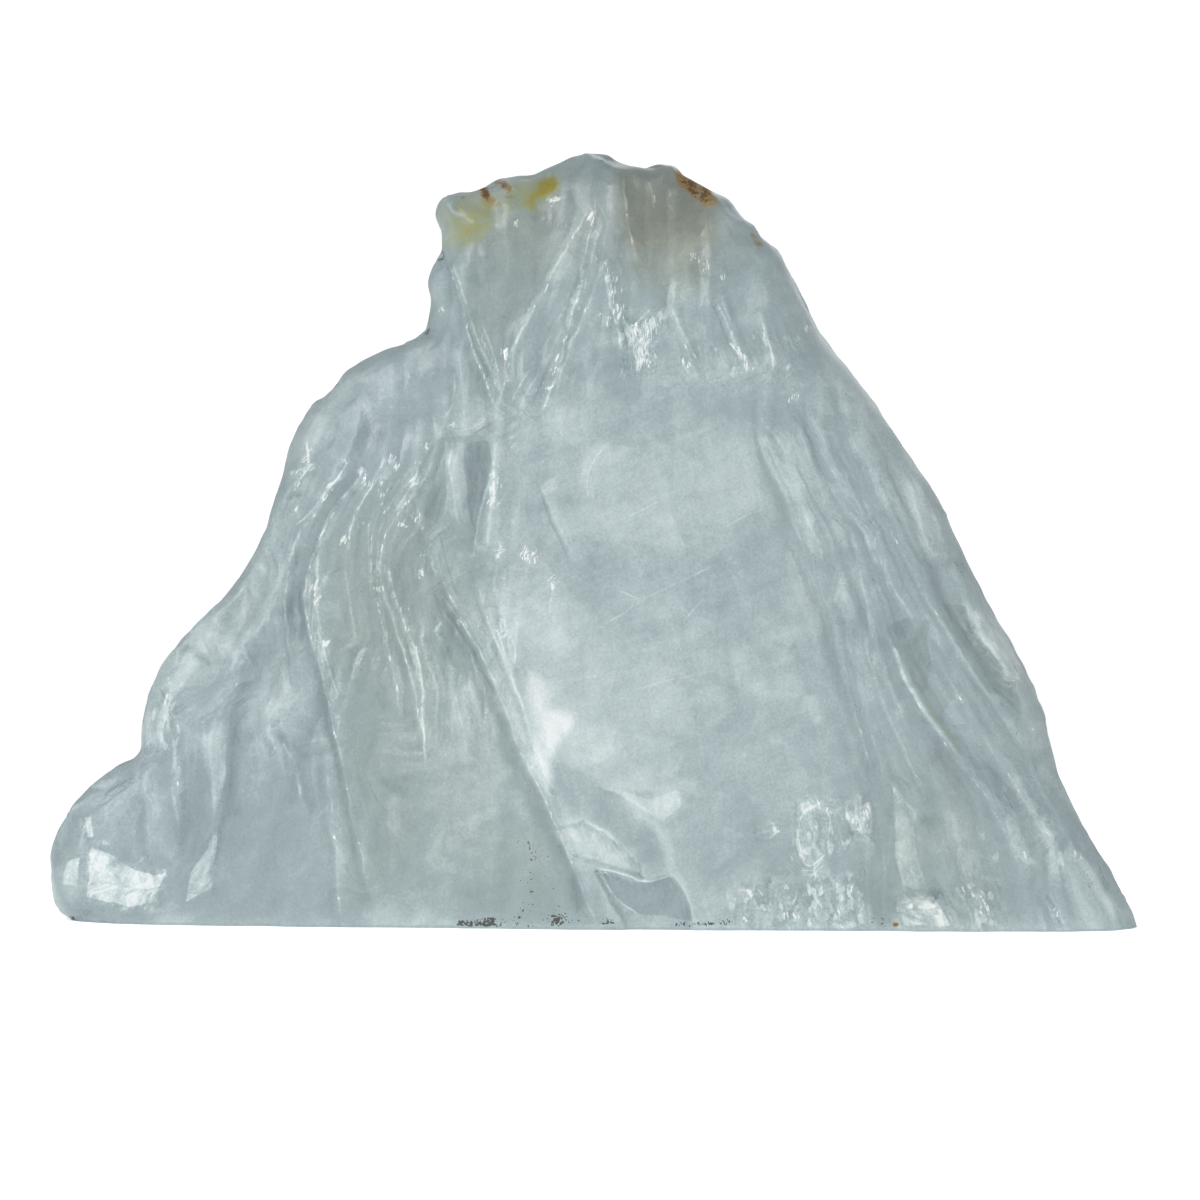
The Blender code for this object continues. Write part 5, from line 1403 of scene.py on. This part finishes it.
def streaks(x, z, table):
    """The sum of the soft lines in a table, which fade towards their ends."""
    total = np.zeros(x.shape)
    for tone, half_width, points in table.values():
        at = near(x, z, points, half_width * 3.0)
        away, _, share = along_line(x[at], z[at], smooth_line(points))
        total[at] += tone * tapered(share, *STREAK_ENDS) * np.exp(-((away / half_width) ** 2))
    return total


def glitter(x, z):
    """How strongly each point takes a painted glint: one at the heart of a single glint, and less round it.
    """
    total = np.zeros(x.shape)
    for radius, places in GLITTER.values():
        for cx, cz in places:
            at = near(x, z, [(cx, cz)], radius * 2.0)
            bright = np.exp(-((x[at] - cx) ** 2 + (z[at] - cz) ** 2) / radius**2)
            total[at] = np.maximum(total[at], bright)
    return total


def facet_marks(x, z):
    """For each point: how far inside the nearest facet it is, and that facet's tone."""
    gap = np.full(x.shape, NO_MARK)
    tone = np.zeros(x.shape)
    for amount, points in FACETS.values():
        at = near(x, z, points, -NO_MARK)
        inward = inward_of(x[at], z[at], points)
        closer = inward > gap[at]
        gap[at[closer]] = inward[closer]
        tone[at[closer]] = amount
    return gap, tone


def thread_marks(x, z):
    """For each point: its distance from the nearest thread in half widths, with a side, and its tone."""
    best = np.full(x.shape, -NO_MARK)
    gap = np.full(x.shape, -NO_MARK)
    tone = np.zeros(x.shape)
    for amount, half_width, points in THREADS.values():
        at = near(x, z, points, THREAD_REACH)
        away, east, share = along_line(x[at], z[at], smooth_line(points))
        closer = away < best[at]
        ends = tapered(share, *THREAD_ENDS)
        best[at[closer]] = away[closer]
        gap[at[closer]] = np.clip(east[closer] / half_width, NO_MARK, -NO_MARK)
        tone[at[closer]] = (amount * ends * ease((THREAD_FADE - away) / 0.8))[closer]
    return gap, tone


def lip_shading_marks(x, z):
    """For each point: how far on the proud side of the nearest fold's lip it is, and how strong its painted
    shading is.
    """
    best = np.full(x.shape, -NO_MARK)
    gap = np.full(x.shape, NO_MARK)
    strength = np.zeros(x.shape)
    folds = [(bright, *one) for table, bright in LIP_SHADING for one in table.values()]
    for bright, height, _, side, points in folds:
        at = near(x, z, points, -NO_MARK)
        away, east, share = along_line(x[at], z[at], smooth_line(points))
        closer = away < best[at]
        ends = tapered(share, FOLD_TAPER) * bright
        best[at[closer]] = away[closer]
        gap[at[closer]] = np.clip(east[closer] * side, NO_MARK, -NO_MARK)
        strength[at[closer]] = (height / LIP_HEIGHT * ends * ease((LIP_FADE - away) / 1.2))[closer]
    return gap, strength


def proud_of(place, normals, edges, rounds):
    """How far each vertex stands proud of the stone round it, in drawing units."""
    around = np.stack([settle(column, edges, rounds) for column in place.T], axis=1)
    return ((place - around) * normals).sum(axis=1)


def store(mesh, name, values):
    """Keeps the values on the mesh's vertices, under a name that the shader can read."""
    kind, field = ("FLOAT_VECTOR", "vector") if values.ndim == 2 else ("FLOAT", "value")
    layer = mesh.attributes.new(name, kind, "POINT")
    layer.data.foreach_set(field, values.astype(np.float32).ravel())


def paint(mesh):
    """Paints the drawing's marks on the vertices, and returns them by name."""
    place, normals = read(mesh.vertices, "co", 3) / UNIT, read(mesh.vertex_normals, "vector", 3)
    edges = read(mesh.edges, "vertices", 2, int)
    x, z = ragged(*as_seen(*place.T))
    front = ease(0.5 - normals[:, 1] * 1.5)
    faced = ease(-0.1 - normals[:, 1] * 2.0)
    share = BACK_SHARE + (1.0 - BACK_SHARE) * front
    gap, facet_tone = facet_marks(x, z)
    thread_gap, thread_tone = thread_marks(x, z)
    lip_gap, lip_shading_tone = lip_shading_marks(x, z)
    # How far each point stands proud, finely and broadly, for painted light and shade.
    fine = proud_of(place, normals, edges, FINE_ROUNDS) / FINE_PROUD
    broad = proud_of(place, normals, edges, BROAD_ROUNDS) / BROAD_PROUD
    number, held = fibre_of(x, z)
    away, _, _, _ = rim_of(x, z)
    clear_of_rim = front * ease(away / RIM_BAND - 0.2)
    rim_shade = RIM_SHADE * (1.0 - ease(away / RIM_BAND)) * front
    # Painted shadow: the front is darker just above the floor.
    foot_shadow = FOOT_SHADOW * (1.0 - ease(place[:, 2] / FOOT_SHADOW_HEIGHT)) * front
    return {
        "milk": (patches(x, z, VEILS) + streaks(x, z, STREAKS) * front) * share - rim_shade - foot_shadow,
        "facet_gap": gap,
        "facet_tone": facet_tone * faced,
        "thread_gap": thread_gap,
        "thread_tone": thread_tone * faced,
        "lip_gap": lip_gap,
        # The folds' painted light and shade: how far each point is from a lip, and how strong that is.
        "lip_shading_tone": lip_shading_tone * clear_of_rim,
        "lip": np.clip(fine, -1.0, 1.0) * clear_of_rim,
        "proud": np.clip(broad, -1.0, 1.0) * clear_of_rim,
        "glint": patches(x, z, GLINTS) * faced,
        "glitter": glitter(x, z) * faced,
        "tint": patches(x, z, TINTS) * share,
        "warmth": patches(x, z, WARMTH),
        "ochre": patches(x, z, OCHRE),
        "rust": patches(x, z, RUST),
        "grime": np.minimum(patches(x, z, GRIME), GRIME_MOST) * share,
        "fibrous": held * calm(x, z, *FIBRES_LEFT),
        "grain": np.stack([number, place[:, 1], z], axis=1),
    }


marks = paint(slab_mesh)
for name, values in marks.items():
    store(slab_mesh, name, values)
    print(f"{name}: from {values.min():.2f} to {values.max():.2f}")

# %% [markdown]
# ## The finish
#
# A finish is a tree of nodes, and shader maths written as nodes by hand is hard to read. Here a Wire
# holds one socket, and adding or multiplying wires makes the Math nodes. Any other node comes from
# `make`, which sets the node up and then fills its sockets with numbers or with wires.

# %% Wires
class Wire:
    """One output socket of a finish, which can be added, taken away, multiplied and divided."""

    def __init__(self, finish, socket):
        self.finish = finish
        self.socket = socket

    def __add__(self, other):
        return self.finish.maths("ADD", self, other)

    def __sub__(self, other):
        return self.finish.maths("SUBTRACT", self, other)

    def __rsub__(self, other):
        return self.finish.maths("SUBTRACT", other, self)

    def __mul__(self, other):
        return self.finish.maths("MULTIPLY", self, other)

    def __truediv__(self, other):
        return self.finish.maths("DIVIDE", self, other)

    __radd__ = __add__
    __rmul__ = __mul__


class Finish:
    """A material's node tree."""

    def __init__(self, name):
        self.material = bpy.data.materials.new(name)
        self.material.use_nodes = True
        self.nodes = self.material.node_tree.nodes
        self.shader = self.nodes["Principled BSDF"]

    def fill(self, node, sockets):
        """Gives each named socket its number, or links its wire."""
        for key, value in sockets.items():
            if isinstance(value, Wire):
                self.material.node_tree.links.new(value.socket, node.inputs[key])
            else:
                node.inputs[key].default_value = value

    def make(self, kind, settings, sockets, output=0):
        """A node of a kind, with its settings set first and then its sockets; returns one output."""
        node = self.nodes.new(kind)
        for key, value in settings.items():
            setattr(node, key, value)
        self.fill(node, sockets)
        return Wire(self, node.outputs[output])

    def maths(self, operation, *values):
        return self.make("ShaderNodeMath", {"operation": operation}, dict(enumerate(values)))

    def mark(self, name):
        """A mark that was painted on the vertices."""
        return self.make("ShaderNodeAttribute", {"attribute_name": name}, {}, "Fac")

    def noise(self, place, scale, detail=3.0, rough=0.5, bend=0.0):
        """Noise of about one either way."""
        sockets = {"Vector": place, "Scale": scale, "Detail": detail, "Roughness": rough, "Distortion": bend}
        return (self.make("ShaderNodeTexNoise", {}, sockets, "Fac") - 0.5) * 4.0

    def bent(self, place, scale, amount):
        """The place pushed about by noise, so that a pattern read there loses its straight edges."""
        push = self.make("ShaderNodeTexNoise", {}, {"Vector": place, "Scale": scale, "Detail": 0.0}, "Color")
        sockets = {0: push, 1: (amount, amount, amount), 2: place}
        return self.make("ShaderNodeVectorMath", {"operation": "MULTIPLY_ADD"}, sockets)

    def draw(self, place):
        """A random value, half either way, for each cell of a pattern of cells about one across."""
        cells = self.make("ShaderNodeTexVoronoi", {}, {"Vector": place, "Scale": 1.0}, "Color")
        return self.make("ShaderNodeSeparateColor", {}, {0: cells}, 0) - 0.5

    def between(self, value, low, high):
        """Nought below the low value, one above the high one, and smooth between."""
        sockets = {"Value": value, "From Min": low, "From Max": high}
        return self.make("ShaderNodeMapRange", {"interpolation_type": "SMOOTHSTEP"}, sockets)

    def blend(self, factor, one, other, way="MIX"):
        """One colour blended into another, or multiplied by it."""
        settings = {"data_type": "RGBA", "blend_type": way}
        return self.make("ShaderNodeMix", settings, {0: factor, 6: one, 7: other}, 2)

    def stretch(self, place, size):
        """The place measured in steps of a size across, deep and along the fibres."""
        settings = {"operation": "MULTIPLY"}
        steps = tuple(1.0 / one for one in size)
        return self.make("ShaderNodeVectorMath", settings, {0: place, 1: steps})


def linear(red, green, blue):
    """A screen colour, 0 to 255, as the linear colour that a shader wants."""
    light = []
    for value in (red, green, blue):
        share = value / 255.0
        light.append(share / 12.92 if share <= 0.04045 else ((share + 0.055) / 1.055) ** 2.4)
    return (*light, 1.0)


print("middle grey of the stone:", [round(value, 3) for value in linear(165, 181, 184)])

# %% [markdown]
# ### The stone
#
# The tone decides the colour: clear stone is a dim blue-grey and a veil is nearly white. Light that goes
# into the stone and scatters is the Principled shader's subsurface, and light that goes through is its
# transmission; both are the same all over. Clouds and mottling come from even noise, whose scale says how
# often it repeats in a metre. Streaks come from noise that is drawn out along the fibres, and plates from
# cells that are longer along them. Their sizes are in millimetres, across, deep and along the fibres.
# Across the clear pane drift faint streaks that rise to the right, along a second cleavage. The lips of
# the folds get a painted highlight, and the stone just under a lip a painted shadow. In the sums, the
# number beside each part says how much of it goes into the tone.

# %% The tone of the stone
CLEAREST = linear(124, 140, 146)
CLEAR = linear(143, 158, 162)
MIDDLE = linear(169, 184, 186)
VEIL = linear(209, 221, 221)
WHITEST = linear(246, 250, 250)
TONE_CONTRAST = 1.35
LAYERS = 20.0
LAYERS_SHARE = 0.8
CLOUDS, BILLOWS, MOTTLES, GRITS = 42.0, 110.0, 300.0, 1900.0
STREAK_SIZE = (1.5, 7.0, 26.0)
LARGE_PLATES = (6.5, 6.0, 14.0)
SMALL_PLATES = (2.0, 2.0, 4.6)
FIBRE_BANDS = (2.6, 6.0, 36.0)
SILK_SIZE = (0.9, 2.0, 4.0)
PLATE_PUSH, PLATE_CURL = 0.3, 1.8
DRIFT_SLOPE = -0.42
DRIFT_SIZE = (0.014, 0.01, 0.0028)
TONES = [(-2.0, CLEAREST), (-1.0, CLEAR), (0.0, MIDDLE), (1.0, VEIL), (2.0, WHITEST)]

stone = Finish("selenite")
grain = stone.make("ShaderNodeAttribute", {"attribute_name": "grain"}, {}, "Vector")
solid = stone.make("ShaderNodeTexCoord", {}, {}, "Object")
fibrous = stone.mark("fibrous")

clouds = stone.noise(solid, CLOUDS, 2.0, 0.5, 0.8)
billow = stone.noise(solid, BILLOWS, 4.0, 0.6, 1.6)
mottle = stone.noise(solid, MOTTLES, 4.0, 0.8, 0.3)
grit = stone.noise(solid, GRITS, 1.0, 0.8)
streaky = stone.noise(stone.stretch(grain, STREAK_SIZE), 1.0, 3.0, 0.65, 0.2) * fibrous
slanted = stone.make("ShaderNodeMapping", {"vector_type": "TEXTURE"},
                     {"Vector": solid, "Rotation": (0.0, DRIFT_SLOPE, 0.0), "Scale": DRIFT_SIZE})
drift = stone.noise(slanted, 1.0, 3.0, 0.6, 0.4)
milk = stone.mark("milk") + clouds * 0.14 + billow * 0.17
milk = milk + stone.maths("SINE", milk * LAYERS) * (LAYERS_SHARE / LAYERS)

pushed = stone.bent(grain, PLATE_PUSH, PLATE_CURL)
large = stone.draw(stone.stretch(pushed, LARGE_PLATES))
small = stone.draw(stone.stretch(pushed, SMALL_PLATES))
bands = stone.draw(stone.stretch(grain, FIBRE_BANDS)) * fibrous
small_share = fibrous * 0.65 + 0.3
plates = large * 0.16 + small * (billow * 0.1 + 0.16) * small_share + bands * 0.26

tone = milk + plates + streaky * 0.16 + drift * (1.0 - fibrous * 0.7) * 0.14
# Painted light and shade: lighter where the surface stands proud of the stone round it, darker in its
# hollows.
tone = tone + stone.mark("lip") * 0.09 + stone.mark("proud") * 0.12

broken = stone.maths("MAXIMUM", 0.55 + mottle * 0.5 + billow * 0.8, 0.0)
facet_gap = stone.mark("facet_gap") + mottle * 0.12
facet = stone.between(facet_gap, -0.06, 0.14) * stone.mark("facet_tone")
silk = stone.noise(stone.stretch(pushed, SILK_SIZE), 1.0, 2.0, 0.6)
thread_gap = stone.maths("ABSOLUTE", stone.mark("thread_gap"))
thread = (1.0 - stone.between(thread_gap, 0.15, 1.0)) * stone.mark("thread_tone")
# A painted highlight along each fold's lip, and a painted shadow just under it.
lip_gap = stone.mark("lip_gap")
lip_highlight = 1.0 - stone.between(stone.maths("ABSOLUTE", lip_gap - 0.2), 0.05, 0.4)
lip_shadow = 1.0 - stone.between(stone.maths("ABSOLUTE", lip_gap + 0.9), 0.2, 1.3)
lip = (lip_highlight * broken * 0.75 - lip_shadow * 0.2) * stone.mark("lip_shading_tone")
facet_grain = 0.75 + mottle * 0.35 + silk * 0.35
tone = tone + facet * facet_grain + thread * (0.2 + broken * 1.1) + lip
print("nodes so far:", len(stone.nodes))

# %% [markdown]
# In a glint cluster the stone is broken into small flats. A Voronoi pattern gives each flat its own random
# tone with a crisp edge, painted light and shade as if each flat leant its own way, and a few flats, picked
# at random, get a painted highlight. Sparks are smaller cells, longer along the fibres, and are painted
# glints: a cell lights up where its random value beats a bar. The bar is lowest in a single glint, and
# a little lower than elsewhere in a cluster and along the lips of the folds.

# %% Flats and sparks
SHARDS = (1.1, 1.3, 2.0)
CRUMBS = (0.32, 0.5, 1.0)
glint = stone.mark("glint")
shard = stone.draw(stone.stretch(pushed, SHARDS))
crumb = stone.draw(stone.stretch(grain, CRUMBS))
lit_bar = 0.5 - glint * 0.26
lit = stone.between(shard, lit_bar, lit_bar + 0.05) * (0.6 + silk * 0.4)
crumb_bar = 0.499 - stone.mark("glitter") * 0.42 - glint * 0.02
crumb_bar = crumb_bar - lip_highlight * stone.mark("lip_shading_tone") * 0.1
spark = stone.between(crumb, crumb_bar, crumb_bar + 0.03)
tone = tone * TONE_CONTRAST + mottle * 0.18 + grit * (glint * 0.1 + 0.27)
# Painted light and shade of the flats, painted highlights on a few of them, painted glints, and a painted
# haze round each single glint.
tone = tone + (shard * 0.75 + silk * 0.3 + mottle * 0.35) * glint + lit * 0.9
tone = tone + spark * 1.8 + stone.mark("glitter") * 0.3
print("nodes so far:", len(stone.nodes))

# %% [markdown]
# ### Colour and stains
#
# The tone runs through a ramp of five stone colours. Then come the tints and the stains. Each stain is
# painted roughly, and noise breaks its edge up, so it looks soaked in and not brushed on.

# %% Colour the stone
GREENISH, BLUISH, BROWNISH = (1.0, 0.99, 0.93, 1.0), (0.965, 0.98, 1.0, 1.0), (1.0, 0.88, 0.74, 1.0)
PALE_OCHRE, YELLOW_OCHRE = linear(158, 164, 112), linear(158, 142, 24)
TAN_RUST, DARK_RUST = linear(148, 116, 48), linear(86, 54, 6)
DIRT = linear(52, 40, 26)


def ramp(finish, value, stops, low, high):
    """The value turned into a colour by stops between a low and a high value."""
    share = (value - low) / (high - low)
    wire = finish.make("ShaderNodeValToRGB", {}, {0: share}, 0)
    band = wire.socket.node.color_ramp
    while len(band.elements) < len(stops):
        band.elements.new(0.5)
    for element, (place, colour) in zip(band.elements, stops):
        element.position = (place - low) / (high - low)
        element.color = colour
    return wire


colour = ramp(stone, tone, TONES, -2.0, 2.0)
tint = stone.mark("tint") + clouds * 0.25
colour = stone.blend(stone.between(tint, 0.0, 1.0), colour, GREENISH, "MULTIPLY")
colour = stone.blend(stone.between(0.0 - tint, 0.0, 1.0), colour, BLUISH, "MULTIPLY")
colour = stone.blend(stone.mark("warmth"), colour, BROWNISH, "MULTIPLY")

stain = mottle + billow
ochre = stone.between(stone.mark("ochre") * (1.0 + stain * 0.6), 0.1, 1.0)
yellow = stone.between(stone.mark("ochre") * (1.0 + stain * 0.3), 0.7, 1.7)
rust = stone.between(stone.mark("rust") * (1.0 + stain * 0.6), 0.4, 0.9)
dark_rust = stone.between(stone.mark("rust") * (1.0 + mottle * 0.6 + grit * 0.3), 0.9, 1.3)
dirt = stone.noise(solid, GRITS, 1.0, 0.6)
speck_bar = 2.15 - stone.mark("grime") * (1.5 + billow * 0.8) - mottle * 0.25
speck = stone.between(dirt, speck_bar, speck_bar + 0.15)
colour = stone.blend(ochre * 0.65, colour, PALE_OCHRE)
colour = stone.blend(yellow * 0.9, colour, YELLOW_OCHRE)
colour = stone.blend(rust * 0.8, colour, TAN_RUST)
colour = stone.blend(dark_rust * 0.85, colour, DARK_RUST)
colour = stone.blend(speck * 0.9, colour, DIRT)
print("nodes so far:", len(stone.nodes))

# %% [markdown]
# ### Gloss and skin
#
# Fresh cleavage is glossy, and worn fibrous stone is duller, so the roughness follows the plates and the
# fibres. Fine noise hardly touches it, because small dull spots would show as dark flecks. The skin is a
# little uneven, too finely for the mesh, so a bump carries that, and nothing larger.

# %% Gloss, skin and depth
ROUGHNESS, LEAST_ROUGHNESS = 0.32, 0.12
SKIN = 620.0
SKIN_HEIGHT = 0.2
GLOW_DEPTH = 0.003
rough = ROUGHNESS + mottle * 0.01 + small * small_share * 0.2 + fibrous * 0.04
rough = rough - glint * 0.12 - stone.maths("MAXIMUM", facet, 0.0) * 0.1 + rust * 0.3
rough = stone.maths("MAXIMUM", rough, LEAST_ROUGHNESS)
skin = stone.noise(solid, SKIN, 2.0, 0.7) * 0.5
bump = stone.make("ShaderNodeBump", {}, {"Strength": 0.25, "Distance": UNIT * SKIN_HEIGHT, "Height": skin})
stone.fill(stone.shader, {
    "Base Color": colour,
    "Roughness": rough,
    "Normal": bump,
    "IOR": 1.52,
    "Subsurface Weight": 0.5,
    "Subsurface Radius": (0.85, 1.0, 1.0),
    "Subsurface Scale": GLOW_DEPTH,
    "Transmission Weight": 0.2,
    "Coat Weight": 0.0,
})
slab_mesh.materials.clear()
slab_mesh.materials.append(stone.material)
print("nodes in the finish:", len(stone.nodes))
